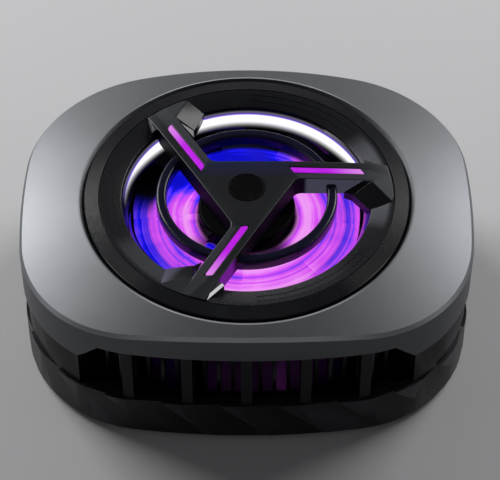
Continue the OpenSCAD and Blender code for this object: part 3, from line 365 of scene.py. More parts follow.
def funnel_painted_sheen_mask(finish):
    """Where a sheen is painted on the funnel: 1 behind the right arm's end, and less at the lower left
    and the front.
    """
    right = finish.towards(14, 0.91, 0.998)
    near = finish.towards(-6, 0.965, 0.999)
    lower = finish.towards(224, 0.93, 0.99)
    front = finish.towards(288, 0.85, 0.97)
    inside = finish.radius().below(23.4 * MM, 24.5 * MM)
    return (right + 0.8 * near + 0.35 * lower + 0.14 * front) * inside


def facet_painted_sheen_mask(finish):
    """Where a sheen is painted on the ramps: 1 on the outer part of the lower arm's ramp."""
    return finish.towards(231, 0.99, 0.9995)


def arm_side_painted_light(colours):
    """Sides of the arms, rough and darker than the hub's tops as painted shade, with painted light on
    the right and the lower one.
    """
    finish = Finish("arm_side_painted_light")
    grain = finish.noise(0.14, 3)
    radius = finish.radius()
    # Places where painted light falls on the sides of the right and the lower arm
    right = finish.towards(6, 0.95, 0.985) * radius.between(9.7 * MM, 10.5 * MM)
    lower = finish.towards(265, 0.965, 0.99) * radius.band(15 * MM, 17 * MM, 20 * MM, 20.8 * MM)
    # The sides' dark colour is painted shade; their emission is painted light
    return finish.surface(
        grain,
        shades(colours.moulding, 0.16, 0.24),
        grain,
        (0.5, 0.1),
        0.01,
        specular_ior_level=0.05,
        emission_color=finish.mix(
            lower, finish.scaled((0.045, 0.048, 0.07), right), (0.13, 0.008, 0.22)
        ),
    )


def flare_painted_glint(colours):
    """Slanted edges of the flares, with a painted highlight on the lower arm's one and a faint painted
    sheen on the right arm's one.
    """
    finish = Finish("flare_edge")
    grain = finish.noise(0.14, 3)
    right = finish.towards(17, 0.97, 0.985)
    lower = finish.towards(257, 0.97, 0.985)
    light = finish.mix(lower, finish.scaled((0.07, 0.071, 0.083), right), (0.55, 0.55, 0.57))
    pair = shades(colours.moulding, 0.48, 0.72)
    return finish.surface(grain, pair, grain, (0.3, 0.1), 0.004, emission_color=light)


def turned_edge_painted_shade(name, bright, painted_shade_colour):
    """Turned edge, brighter at the front and the back than at the sides, where shade is painted."""
    finish = Finish(name)
    marks = finish.noise(0.25, 4)
    across = finish.facing(0)
    sides = (across * across).between(0.1, 0.6)
    return finish.surface(sides, (bright, painted_shade_colour), marks, (0.4, 0.12), 0.004, metallic=0.95)


def polished_black(name, colours, roughness=0.06, light=None):
    """Gloss black plastic; painted light, where there is some, gives its emission."""
    finish = Finish(name)
    haze = finish.noise(3, 3)
    sockets = {"coat_weight": 0.4, "coat_roughness": 0.05}
    if light:
        sockets["emission_color"] = light(finish)
    return finish.surface(haze, shades(colours.polished, 1, 1.5), haze, (roughness, 0.07), **sockets)


def duct_painted_reflection(finish):
    """Painted reflection: a bright band under the lip at the back, with a halo above it."""
    side = finish.towards(95, 0.0, 0.3)
    thin = finish.towards(90, 0.05, 0.75)
    foot = 25.1 * MM - 1.4 * MM * thin
    rise = (finish.z - foot).between(-0.9 * MM, 1.0 * MM)
    core = rise * rise * finish.z.below(25.35 * MM, 25.65 * MM)
    halo = finish.z.band(25.2 * MM, 25.55 * MM, 25.55 * MM, 26.1 * MM)
    light = finish.mix(halo, (1.0, 0.98, 1.0), (0.2, 0.1, 0.75))
    return finish.scaled(light, side * (1.3 * core + 0.4 * halo))


def strip_light(colours):
    """Light guide that is lit from below, paler towards its outer end."""
    finish = Finish("strip_light")
    far = finish.radius().between(14 * MM, 20.5 * MM)
    cloud = finish.noise(1.5)
    light = finish.scaled(finish.mix(far, colours.strip, colours.strip_end), 0.9 + 0.2 * cloud)
    pair = ((0.1, 0.006, 0.12), (0.15, 0.06, 0.17))
    return finish.surface(far, pair, cloud, (0.3, 0.1), emission_color=light)


def fan_painted_glow(colours):
    """Clear fan plastic with a painted glow standing for its LEDs' light from the hub, in colours that
    change around it, with streaks round it.

    The painted light falls at a slant, so the streaks run on from blade to blade.
    """
    finish = Finish("fan_painted_glow")
    blade_middle = 21.6 * MM
    slant = 0.916
    finish.y = finish.y + slant * (finish.z - blade_middle)
    radius = finish.radius()
    back = finish.towards(112, 0.5, 0.92)
    left = finish.towards(178, -0.2, 0.7)
    front = finish.towards(-88, 0.55, 1.0)
    right = finish.towards(0, 0.2, 0.8)
    rings = finish.noise(1.6, 3, finish.point(radius, 0.0, 0.0))
    fine = finish.noise(0.4, 2, finish.point(radius, 0.002, 0.0))
    cloud = finish.noise(6)
    streak = 0.75 * rings + 0.25 * fine - 0.5
    outward = radius.between(13.2 * MM, 19 * MM)
    paler = 1 - 0.75 * right * radius.between(17.2 * MM, 18.2 * MM)
    seam = radius.band(16.2 * MM, 16.8 * MM, 17.1 * MM, 17.8 * MM)
    inside = radius.band(11 * MM, 13 * MM, 14.5 * MM, 16 * MM)
    # Painted light: a patch at the lower left near the hub
    patch = finish.towards(234, 0.975, 0.99) * radius.below(10.4 * MM, 11.2 * MM)
    tone = 0.16 + 0.5 * outward * (1 - front) * paler
    tone = tone + 0.66 * back + 0.06 * left * outward - 0.06 * front
    tone = tone + (0.36 * seam + 0.16 * inside) * (1 - 0.7 * front)
    tone = tone + 2.8 * streak + 0.6 * (cloud - 0.5) + 0.6 * patch
    stops = [
        (0.0, colours.glow_core),
        (0.3, colours.glow_front),
        (0.6, colours.glow_side),
        (0.85, colours.glow_back),
        (1.0, deeper(colours.glow_back, 0.5)),
    ]
    light = finish.node("ShaderNodeValToRGB", {"stops": stops}, {0: tone})
    # Painted shade: the tips at the back and the blades near the hub at the front are darkened
    tip = finish.towards(100, 0.1, 0.45) * radius.between(15.4 * MM, 16.4 * MM)
    near = finish.towards(-95, 0.45, 0.8) * radius.below(9.6 * MM, 11.6 * MM) * (1 - patch)
    level = (1.0 + 0.9 * streak + 0.3 * back) * radius.between(8.0 * MM, 9.2 * MM)
    level = level * (1 - tip) * (1 - 0.92 * near) * colours.glow
    return finish.surface(
        outward,
        ((0.012, 0.007, 0.016), (0.003, 0.003, 0.008)),
        fine,
        (0.55, 0.12),
        specular_ior_level=0.02,
        emission_color=finish.scaled(light, level),
    )


def plain_metal(name, colour, roughness, grain_size, metallic=1.0):
    """Machined or drawn metal with fine marks and slight stains."""
    finish = Finish(name)
    marks = finish.noise(grain_size, 4)
    stain = finish.noise(5, 3)
    span = (roughness - 0.06, 0.12)
    return finish.surface(stain, shades(colour, 0.85, 1.1), marks, span, 0.004, metallic=metallic)


def finned_metal():
    """Dark fins with the long marks of the press that drew them."""
    finish = Finish("finned_metal")
    marks = finish.noise(0.18, 4, finish.point(finish.x, finish.y * 0.04, finish.z))
    pair = ((0.014, 0.014, 0.016), (0.026, 0.026, 0.029))
    return finish.surface(finish.noise(6, 3), pair, marks, (0.3, 0.16), 0.006, metallic=0.7)


def wound_copper():
    finish = Finish("wound_copper")
    wire = 0.18 * MM
    inputs = {"Vector": finish.place, "Scale": TURN / (20 * wire)}
    turns = finish.node("ShaderNodeTexWave", {"bands_direction": "Z"}, inputs, 1)
    stain = finish.noise(2)
    return finish.surface(
        turns * 0.6 + 0.4 * stain,
        ((0.18, 0.05, 0.02), (0.66, 0.25, 0.11)),
        stain,
        (0.28, 0.1),
        metallic=0.85,
        normal=finish.bump(turns, 0.03),
    )


def board_green():
    """Board with darker lines where its copper runs under the lacquer."""
    finish = Finish("board_green")
    tracks = finish.cells(1.7, "DISTANCE_TO_EDGE").between(0.03, 0.08)
    pair = ((0.006, 0.05, 0.03), (0.012, 0.1, 0.055))
    relief = finish.bump(tracks, 0.02)
    return finish.surface(tracks, pair, finish.noise(0.8), (0.3, 0.14), normal=relief)


def lit_led():
    finish = Finish("lit_led")
    haze = finish.noise(0.6)
    return finish.surface(
        haze,
        ((0.75, 0.7, 0.8), (0.9, 0.86, 0.95)),
        haze,
        (0.25, 0.1),
        emission_color=finish.mix(haze, (0.75, 0.3, 0.95), (0.9, 0.6, 1.0)),
        emission_strength=0.8,
    )


def soft_rubber(name, colour):
    """Silicone with a dry bloom and a fine moulded grain."""
    finish = Finish(name)
    grain = finish.noise(0.12)
    bloom = finish.noise(7, 3)
    return finish.surface(bloom, shades(colour, 0.8, 1.3), grain, (0.62, 0.2), 0.02, sheen_weight=0.15)


def cell_foam():
    finish = Finish("cell_foam")
    cells = finish.cells(0.45)
    pair = ((0.05, 0.05, 0.055), (0.12, 0.12, 0.125))
    return finish.surface(cells, pair, cells, (0.8, 0.15), 0.08)


def lead_jackets():
    """Red lead on one side and black on the other."""
    finish = Finish("lead_jackets")
    side = finish.x.between(-0.5 * MM, 0.5 * MM)
    pair = ((0.012, 0.012, 0.013), (0.4, 0.015, 0.012))
    return finish.surface(side, pair, finish.noise(0.5), (0.38, 0.15))


def fired_ceramic():
    finish = Finish("fired_ceramic")
    speck = finish.noise(0.25, 4)
    pair = ((0.82, 0.81, 0.78), (0.66, 0.65, 0.62))
    return finish.surface(speck.between(0.45, 0.75), pair, speck, (0.55, 0.15), 0.01)


def make_finishes(colours):
    """One finish for each material slot of the record, and those of single pieces."""
    cover, black, band = colours.cover, colours.moulding, colours.band
    # Painted light: a blue glow on the hub, and painted sheens on the ramp and the funnel
    hub_painted_glow = (hub_painted_glow_mask, (0.009, 0.013, 0.05))
    facet_painted_sheen = (facet_painted_sheen_mask, (0.06, 0.054, 0.09))
    funnel_painted_sheen = (funnel_painted_sheen_mask, (0.07, 0.071, 0.083))
    return {
        "cover_paint": cover_metal("cover_metal", cover),
        # Painted shade: a darker copy of the cover's metal on the skirt and on the chamfer in the
        # opening
        "skirt": cover_metal("skirt_metal_painted_shade", deeper(cover, 0.46)),
        # Bright cut edges of the cover, with painted shade at the sides
        "cut_edge": turned_edge_painted_shade("turned_edge_painted_shade", (0.62, 0.63, 0.66), deeper(cover, 0.8)),
        "top_edge": turned_edge_painted_shade("top_edge", *shades(cover, 2.5, 0.95)),
        "satin_black": moulded("satin_moulding", black, 0.36, 0.14, 0.01, 0.3),
        # The hub's tops carry a painted blue glow along the back of the hub
        "hub": moulded("hub_moulding", black, 0.36, 0.14, 0.01, 0.3, painted_tint=hub_painted_glow),
        "arm_side_painted_light": arm_side_painted_light(colours),
        "bezel": moulded("bezel_moulding", deeper(black, 0.4), 0.24, 0.14, 0.008, 0.42),
        "dull_black": moulded("dull_black", deeper(black, 0.15), 0.5, 0.14, 0.006, 0.04),
        # The ramps carry a painted sheen on the lower arm's ramp
        "facet": moulded("facet_gloss", deeper(black, 0.2), 0.2, 0.2, 0.002, 0.33, painted_sheen=facet_painted_sheen),
        "flare": flare_painted_glint(colours),
        # The hoop's blue tint is a painted reflection of the fan's light
        "hoop": moulded("hoop_painted_reflection", (0.005, 0.005, 0.016), 0.24, 0.14, 0.006, 0.3),
        # The funnel carries a painted sheen behind the right arm's end, at the lower left and at the
        # front
        "funnel": moulded(
            "funnel_moulding", deeper(black, 0.25), 0.28, 0.2, 0.006, 0.36, painted_sheen=funnel_painted_sheen
        ),
        "gloss_black": polished_black("polished_black", colours),
        # The duct carries a painted reflection under its lip at the back
        "duct": polished_black("duct_black", colours, 0.07, duct_painted_reflection),
        "base_plastic": moulded("base_moulding", band, 0.36, 0.2, 0.014, 0.15),
        "vent": moulded("vent_moulding", deeper(band, 0.5), 0.45, 0.2, 0.01, 0.1),
        "light_guide": strip_light(colours),
        # The fan's blades carry painted light and painted shade
        "fan_plastic": fan_painted_glow(colours),
        "aluminium": plain_metal("milled_aluminium", (0.5, 0.5, 0.52), 0.34, 0.18),
        "fins": finned_metal(),
        "steel": plain_metal("screw_steel", (0.42, 0.42, 0.43), 0.32, 0.2),
        "copper": wound_copper(),
        "brass": plain_metal("turned_brass", (0.62, 0.43, 0.17), 0.3, 0.15),
        "ceramic": fired_ceramic(),
        "semiconductor": plain_metal("pellet_grey", (0.2, 0.2, 0.22), 0.5, 0.2, 0.6),
        "circuit_board": board_green(),
        "chip_black": moulded("chip_resin", (0.014, 0.014, 0.015), 0.5, 0.1, 0.008),
        "led": lit_led(),
        "silicone": soft_rubber("grip_silicone", (0.03, 0.03, 0.032)),
        "foam": cell_foam(),
        "nickel": plain_metal("magnet_nickel", (0.6, 0.58, 0.54), 0.22, 0.3),
        "ferrite": plain_metal("rotor_ferrite", (0.035, 0.034, 0.036), 0.55, 0.2, 0.3),
        "lead_wire": lead_jackets(),
    }


finishes = {}


# Shapes


def polar(angle, radius, height):
    return Vector((radius * math.cos(angle), radius * math.sin(angle), height))


def directions(angle):
    """The way along an arm, and the way across it."""
    return polar(angle, 1, 0), polar(angle + TURN / 4, 1, 0)


def cleaned(bm):
    """Closes seams and poles, and turns the faces outwards."""
    bmesh.ops.remove_doubles(bm, verts=bm.verts, dist=MERGE_GAP)
    bmesh.ops.dissolve_degenerate(bm, edges=bm.edges, dist=MERGE_GAP)
    bmesh.ops.recalc_face_normals(bm, faces=bm.faces)
    return bm


def swept(bm, parts, angle, steps, rise=MIDDLE, centre=MIDDLE, axis=UP, closed=False):
    bmesh.ops.spin(
        bm,
        geom=parts,
        cent=centre,
        axis=axis,
        dvec=rise,
        angle=angle,
        steps=steps,
        use_merge=closed,
        use_duplicate=False,
    )


def spun(bm, profile, steps, start=0.0, angle=TURN):
    """A closed profile of (radius, height) points, turned about the upright axis."""
    corners = [bm.verts.new(polar(start, *point)) for point in profile]
    parts = corners + [bm.edges.new(pair) for pair in zip(corners, corners[1:] + corners[:1])]
    full = angle == TURN
    if not full:
        parts.append(bm.faces.new(corners))
    swept(bm, parts, angle, steps, closed=full)
    return bm


def arc(centre, radius, start, end, steps):
    """Points of an arc in a profile; the angles are in degrees from straight out."""
    turns = [math.radians(start + (end - start) * i / steps) for i in range(steps + 1)]
    return [(centre[0] + radius * math.cos(t), centre[1] + radius * math.sin(t)) for t in turns]


def points_in(made):
    return [item for item in made if isinstance(item, bmesh.types.BMVert)]


def drawn_out(bm, edges):
    """Extrudes a line of edges, and gives its new points and its new edges."""
    made = bmesh.ops.extrude_edge_only(bm, edges=edges)["geom"]
    points = points_in(made)
    ends = set(points)
    lines = [item for item in made if isinstance(item, bmesh.types.BMEdge)]
    return points, [line for line in lines if ends.issuperset(line.verts)]


def stretched(bm, edges, place):
    """Extrudes a loop of edges, and puts each new point where place says for its angle."""
    points, line = drawn_out(bm, edges)
    for point in points:
        angle = math.atan2(point.co.y, point.co.x)
        point.co = polar(angle, *place(angle))
    return line


def cut(bm, faces, place, normal):
    """Cuts the faces along a plane."""
    geometry = {part for face in faces for part in (face, *face.edges, *face.verts)}
    bmesh.ops.bisect_plane(
        bm, geom=list(geometry), dist=MERGE_GAP / 4, plane_co=place, plane_no=normal
    )


def corners_rounded(bm, points, radius, segments):
    """Rounds the corners of a flat plan."""
    bmesh.ops.bevel(
        bm,
        geom=points,
        offset=radius,
        segments=segments,
        profile=0.5,
        affect="VERTICES",
        material=-1,
    )


def flats_joined(bm, degrees):
    """Joins neighbouring faces that are as good as level with each other."""
    limit = math.radians(degrees)
    bmesh.ops.dissolve_limit(bm, angle_limit=limit, verts=bm.verts, edges=bm.edges)


def solid_copy(node):
    """A merged copy of a solid's mesh."""
    bm = bmesh.new()
    bm.from_mesh(frame["nodes"][node].data)
    bmesh.ops.remove_doubles(bm, verts=bm.verts, dist=MERGE_GAP)
    return bm


def new_piece(name, bm, slot, nodes=(), body="housing", looks=()):
    """Makes an object of the mesh, with its finishes, on the body that carries it."""
    mesh = bpy.data.meshes.new(name)
    bm.to_mesh(mesh)
    bm.free()
    for look in looks or (slot,):
        mesh.materials.append(finishes[look].material)
    mesh.shade_smooth()
    mesh.set_sharp_from_angle(angle=SHARP_ANGLE)
    piece = bpy.data.objects.new(name, mesh)
    bpy.context.scene.collection.objects.link(piece)
    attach(piece, body)
    if nodes:
        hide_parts(*nodes)
    return piece


def turned_piece(name, profile, steps, slot, nodes=(), body="housing", looks=()):
    """A piece that is turned from a closed profile."""
    return new_piece(name, cleaned(spun(bmesh.new(), profile, steps)), slot, nodes, body, looks)


def rounded(piece, width, segments=3, least_angle=28):
    """Rounds a piece's edges."""
    bevel = piece.modifiers.new("round_edges", "BEVEL")
    bevel.width = width
    bevel.segments = segments
    bevel.limit_method = "ANGLE"
    bevel.angle_limit = math.radians(least_angle)
    bevel.harden_normals = True


def thickened(piece, wall, offset=-1):
    solidify = piece.modifiers.new("wall", "SOLIDIFY")
    solidify.thickness = wall
    solidify.offset = offset
    solidify.use_even_offset = True
    return piece


class Outline:
    """Plan of the casing: arcs at the front, the sides and the corners, each running into the next."""

    def __init__(self, sizes):
        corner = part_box("top_cover")[1]
        self.front = (Vector((0, corner.y - sizes.front_arc)), sizes.front_arc)
        self.side = (Vector((corner.x - sizes.side_arc, 0)), sizes.side_arc)
        self.corner = (self.corner_middle(sizes), sizes.corner_arc)

    def corner_middle(self, sizes):
        """Where a corner arc's middle lies, from its distances to the other two middles."""
        front_gap = sizes.front_arc - sizes.corner_arc
        side_gap = sizes.side_arc - sizes.corner_arc
        way = self.side[0] - self.front[0]
        along = (way.length_squared + front_gap**2 - side_gap**2) / (2 * way.length)
        off = math.sqrt(front_gap**2 - along**2)
        unit = way.normalized()
        return self.front[0] + unit * along + Vector((unit.y, -unit.x)) * off

    def meeting(self, main, inset):
        """Angle at which the corner arc runs into another arc."""
        middle, radius = main
        way = (self.corner[0] - middle).normalized()
        place = middle + way * (radius - inset)
        return math.atan2(place.y, place.x)

    def reach(self, angle, inset=0.0):
        """Distance of the outline from the middle."""
        way = Vector((abs(math.cos(angle)), abs(math.sin(angle))))
        folded = math.atan2(way.y, way.x)
        if folded < self.meeting(self.side, inset):
            middle, radius = self.side
        elif folded > self.meeting(self.front, inset):
            middle, radius = self.front
        else:
            middle, radius = self.corner
        along = way.dot(middle)
        return along + math.sqrt(along**2 - middle.length_squared + (radius - inset) ** 2)


class CoolerOperator:
    bl_options = {"REGISTER", "UNDO"}


# Cover and bezel


class COOLER_OT_cover(CoolerOperator, bpy.types.Operator):
    """Builds the domed cover with its round opening and its notched skirt"""

    bl_idname = "cooler.cover"
    bl_label = "Cover"

    def execute(self, context):
        sizes = context.scene.cooler_casing
        outline = Outline(sizes)
        low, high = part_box("top_cover")
        dome_z = high.z - math.sqrt(sizes.dome_arc**2 - sizes.rim_r**2)
        dome_start = sizes.rim_r + sizes.rim_w
        dome_steps = 4
        chamfer = sizes.rim_r - sizes.bore_r

        def dome(radius):
            return dome_z + math.sqrt(sizes.dome_arc**2 - radius**2)

        def on_dome(share):
            def place(angle):
                edge = outline.reach(angle, sizes.edge_inset)
                radius = dome_start + share * (edge - dome_start)
                return radius, dome(radius)

            return place

        def at_wall(angle):
            edge = outline.reach(angle, sizes.edge_inset)
            return outline.reach(angle), dome(edge) - sizes.edge_drop

        places = [lambda angle: (sizes.bore_r, high.z - chamfer), lambda angle: (sizes.rim_r, high.z)]
        places += [on_dome(i / dome_steps) for i in range(dome_steps + 1)]
        places += [at_wall, lambda angle: (outline.reach(angle), low.z)]
        bm = bmesh.new()
        bmesh.ops.create_circle(bm, cap_ends=False, radius=sizes.bore_r, segments=sizes.steps)
        bmesh.ops.translate(bm, verts=bm.verts, vec=(0, 0, high.z - sizes.wall))
        edges = list(bm.edges)
        loops = []
        for place in places:
            before = set(bm.faces)
            edges = stretched(bm, edges, place)
            loops.append([face for face in bm.faces if face not in before])
        _, bevelled, rim, *_, top_edge, skirt = loops
        # The skirt and the chamfer take the darker copy of the cover's metal, which is painted shade
        special = {"cut_edge": rim, "skirt": skirt + bevelled, "top_edge": top_edge}
        for index, faces in enumerate(special.values(), 1):
            for face in faces:
                face.material_index = index
        self.cut_notches(bm, skirt, sizes, low.z)
        bm.normal_update()
        if max(bm.faces, key=lambda face: face.calc_center_median().z).normal.z < 0:
            bmesh.ops.reverse_faces(bm, faces=bm.faces)
        looks = ("cover_paint", *special)
        piece = new_piece("cover_shell", bm, "cover_paint", ["top_cover"], looks=looks)
        rounded(thickened(piece, sizes.wall), 0.2 * MM, segments=4, least_angle=22)
        return {"FINISHED"}

    @staticmethod
    def cut_notches(bm, skirt, sizes, low_z):
        """Opens the skirt over the front and the rear vent, with slanted ends."""
        lean = (sizes.notch_mouth - sizes.notch_half) / (sizes.notch_z - low_z)

        def lower_faces():
            return [face for face in bm.faces if face.calc_center_median().z < sizes.notch_z]

        def in_notch(face):
            middle = face.calc_center_median()
            return abs(middle.x) < sizes.notch_half + lean * (sizes.notch_z - middle.z)

        cut(bm, skirt, Vector((0, 0, sizes.notch_z)), UP)
        for side in (-1, 1):
            corner = Vector((side * sizes.notch_half, 0, sizes.notch_z))
            cut(bm, lower_faces(), corner, Vector((side, 0, lean)))
        opened = [face for face in lower_faces() if in_notch(face)]
        bmesh.ops.delete(bm, geom=opened, context="FACES")


class COOLER_OT_bezel(CoolerOperator, bpy.types.Operator):
    """Builds the grooved ring inside the opening"""

    bl_idname = "cooler.bezel"
    bl_label = "Bezel"

    def execute(self, context):
        sizes = context.scene.cooler_grille
        low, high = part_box("bezel_ring")
        inner, outer = sizes.arm_reach + 0.2 * MM, high.x
        fall = (high.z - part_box("top_cover")[1].z) / (outer - inner)
        pitch = (outer - inner) / (sizes.grooves + 0.5)
        edge = 0.1 * MM
        depth = 0.04 * MM
        # Points of one groove: their shares of the pitch, and their depths
        groove = ((0, 0), (0.5, 0), (0.62, depth), (0.88, depth))

        def top(radius, drop=0.0):
            return radius, high.z - fall * (radius - inner) - drop

        profile = [(outer, low.z), (inner, low.z)]
        for i in range(sizes.grooves):
            profile += [top(inner + (i + share) * pitch, drop) for share, drop in groove]
        profile += [top(inner + sizes.grooves * pitch), top(outer - edge)]
        profile += [(outer, top(outer)[1] - edge)]
        turned_piece("bezel_grooved", profile, 256, "satin_black", ["bezel_ring"], looks=["bezel"])
        return {"FINISHED"}


# Grille and its lights


def grille_low():
    """Height of the grille's underside."""
    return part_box("grille_back_plate")[0].z


def arm_top(sizes, along):
    """Height of an arm's top at a distance from the middle."""
    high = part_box("grille")[1].z - sizes.hub_drop
    slope = (sizes.arm_fall - sizes.hub_drop) / (sizes.arm_reach - sizes.arm_root)
    dip = sizes.arm_dip / (sizes.arm_reach - sizes.arm_bend)
    return high - slope * max(0, along - sizes.arm_root) - dip * max(0, along - sizes.arm_bend)


def raised_to_arms(bm, faces, sizes, proud=0.0):
    """Extrudes a flat plan up to the tops of the arms."""
    for point in points_in(bmesh.ops.extrude_face_region(bm, geom=faces)["geom"]):
        along = max(point.co.dot(polar(angle, 1, 0)) for angle in ARM_ANGLES)
        point.co.z = arm_top(sizes, along) + proud


def draw_spider(bm, sizes, low_edge):
    """Outline of the hub and the arms, with two lines across each arm."""
    slope = math.radians(30)
    corner = (sizes.arm_edge + low_edge * math.sin(slope)) / math.cos(slope)
    plan = [(corner, low_edge)]
    plan += [(math.sqrt(sizes.arm_reach**2 - y**2), y) for y in (low_edge, sizes.arm_edge)]
    points = []
    for angle in ARM_ANGLES:
        turn = Matrix.Rotation(angle, 3, "Z")
        points += [bm.verts.new(turn @ Vector((x, y, grille_low()))) for x, y in plan]
    bm.faces.new(points)
    corners_rounded(bm, points[:: len(plan)], sizes.corner_round, 6)
    for angle in ARM_ANGLES:
        way = polar(angle, 1, 0)
        for reach in (sizes.arm_root, sizes.arm_bend):
            cut(bm, bm.faces, way * reach, way)


def sink_slots(bm, sizes, low_edge):
    """Sinks a slot for each light strip into its arm."""
    gap = 0.05 * MM
    depth = 1.2 * MM
    half = sizes.strip_w / 2 + gap
    middle = (sizes.arm_edge + low_edge) / 2
    lean = sizes.strip_slant / sizes.strip_w
    for angle in ARM_ANGLES:
        along, across = directions(angle)

        def on_arm(face):
            place = face.calc_center_median()
            is_top = face.normal.z > 0.5 and place.z > grille_low() + depth
            return is_top and place.dot(along) > sizes.arm_root

        def in_slot(face):
            place = face.calc_center_median()
            inside = sizes.strip_in < place.dot(along) < sizes.strip_out
            return inside and abs(place.dot(across) - middle) < half

        ends = (sizes.strip_in - gap, sizes.strip_out + gap)
        planes = [(along * reach + across * middle, along + across * lean) for reach in ends]
        planes += [(across * (middle + side * half), across) for side in (-1, 1)]
        for place, normal in planes:
            cut(bm, [face for face in bm.faces if on_arm(face)], place, normal)
        bm.normal_update()
        top = [face for face in bm.faces if on_arm(face) and in_slot(face)]
        made = bmesh.ops.extrude_discrete_faces(bm, faces=top)["faces"]
        sunk = {point for face in made for point in face.verts}
        bmesh.ops.translate(bm, verts=list(sunk), vec=-UP * depth)


def add_hull(bm, angle, places):
    """Convex block around the places, turned to the arm at the angle."""
    turn = Matrix.Rotation(angle, 3, "Z")
    bmesh.ops.convex_hull(bm, input=[bm.verts.new(turn @ place) for place in places])


def add_shoulder(bm, sizes, low_edge, angle):
    """Ramp that falls from an arm's end towards the fan, and the cheek at its inner end."""
    low = grille_low() + 0.02 * MM
    ring = sizes.arm_reach - 0.1 * MM
    ring_degrees = (-2, 1, 4, 7, 9)
    sink = 0.01 * MM
    cheek_sink = 0.03 * MM
    cheek_fall = sizes.ramp_fall + 0.2 * MM
    way = polar(-sizes.shoulder_lean, 1, 0)
    start = Vector((sizes.shoulder_in, low_edge, 0))
    inner = Vector((sizes.ramp_in, sizes.ramp_side, 0))
    upper = [start, start + way * sizes.shoulder_run]
    upper += [polar(math.radians(degrees), ring, 0) for degrees in ring_degrees]
    lower = [inner, inner + way * sizes.ramp_run]
    ramp = [(place, sink) for place in upper]
    ramp += [(place, sink + sizes.ramp_fall) for place in lower]
    # Corners of the cheek, set off those of the ramp, and how far each lies below its arm's top
    cheek = [
        (start + Vector((0.12, -0.05, 0)) * MM, cheek_sink),
        (inner + Vector((0.12, 0.05, 0)) * MM, cheek_sink + sizes.ramp_fall),
        (start + Vector((-1.4, 0.05, 0)) * MM, cheek_sink),
        (inner + Vector((-1.45, 0.8, 0)) * MM, cheek_fall),
    ]
    for corners in (ramp, cheek):
        places = []
        for place, fall in corners:
            top = arm_top(sizes, place.x) - fall
            places += [place + UP * low, place + UP * top]
        add_hull(bm, angle, places)


def add_flare(bm, sizes, angle):
    """Slim flare on an arm's far side, with a slanted face along its edge."""
    low = grille_low() + 0.02 * MM
    deep = arm_top(sizes, 0) - low
    sink = 0.03 * MM
    inner, outer, slant = sizes.flare_in, sizes.flare_out, sizes.flare_edge
    inside = sizes.arm_edge - 0.4 * MM
    side = sizes.arm_edge + sizes.flare_w
    upper = [(outer, inside), (inner, inside), (inner, side)]
    lower = [*upper[:2], (inner, side + slant), (outer, inside + slant)]
    places = []
    for group, fall in ((upper, 0), (lower, slant), (lower, deep)):
        for x, y in group:
            places.append(Vector((x, y, max(low, arm_top(sizes, x) - sink - fall))))
    add_hull(bm, angle, places)


def on_flare(face, sizes):
    """Tells whether a face is the top or the slanted edge of a flare."""
    middle = face.calc_center_median()
    for angle in ARM_ANGLES:
        along, across = directions(angle)
        if middle.dot(along) > sizes.arm_reach / 2 and middle.dot(across) > sizes.arm_edge:
            return face.normal.z > 0.3
    return False


class COOLER_OT_spider(CoolerOperator, bpy.types.Operator):
    """Builds the three-cornered hub with its arms and their shoulders"""

    bl_idname = "cooler.spider"
    bl_label = "Spider"

    def execute(self, context):
        sizes = context.scene.cooler_grille
        low_edge = sizes.arm_edge - sizes.arm_w
        bm = bmesh.new()
        draw_spider(bm, sizes, low_edge)
        raised_to_arms(bm, list(bm.faces), sizes)
        bm.normal_update()
        sink_slots(bm, sizes, low_edge)
        cleaned(bm)
        looks = ("hub", "arm_side_painted_light")
        # Side faces take the arm sides' finish, with its painted shade and painted light
        for face in bm.faces:
            face.material_index = looks.index("hub" if abs(face.normal.z) > 0.5 else "arm_side_painted_light")
        piece = new_piece("grille_spider", bm, "satin_black", ["grille"], looks=looks)
        rounded(piece, 0.28 * MM, segments=4, least_angle=35)
        self.build_shoulders(sizes, low_edge)
        return {"FINISHED"}

    @staticmethod
    def build_shoulders(sizes, low_edge):
        """Ramps and flares at the outer ends of the arms."""
        level = 0.96
        bm = bmesh.new()
        for angle in ARM_ANGLES:
            add_shoulder(bm, sizes, low_edge, angle)
            add_flare(bm, sizes, angle)
        flats_joined(bm, 0.5)
        cleaned(bm)
        # The flares' tops take the funnel's finish with its painted sheen
        looks = ("satin_black", "facet", "funnel", "flare")
        for face in bm.faces:
            top, slant = looks[2:] if on_flare(face, sizes) else looks[:2]
            face.material_index = looks.index(top if face.normal.z > level else slant)
        piece = new_piece("grille_shoulders", bm, "satin_black", looks=looks)
        rounded(piece, 0.1 * MM, least_angle=15)


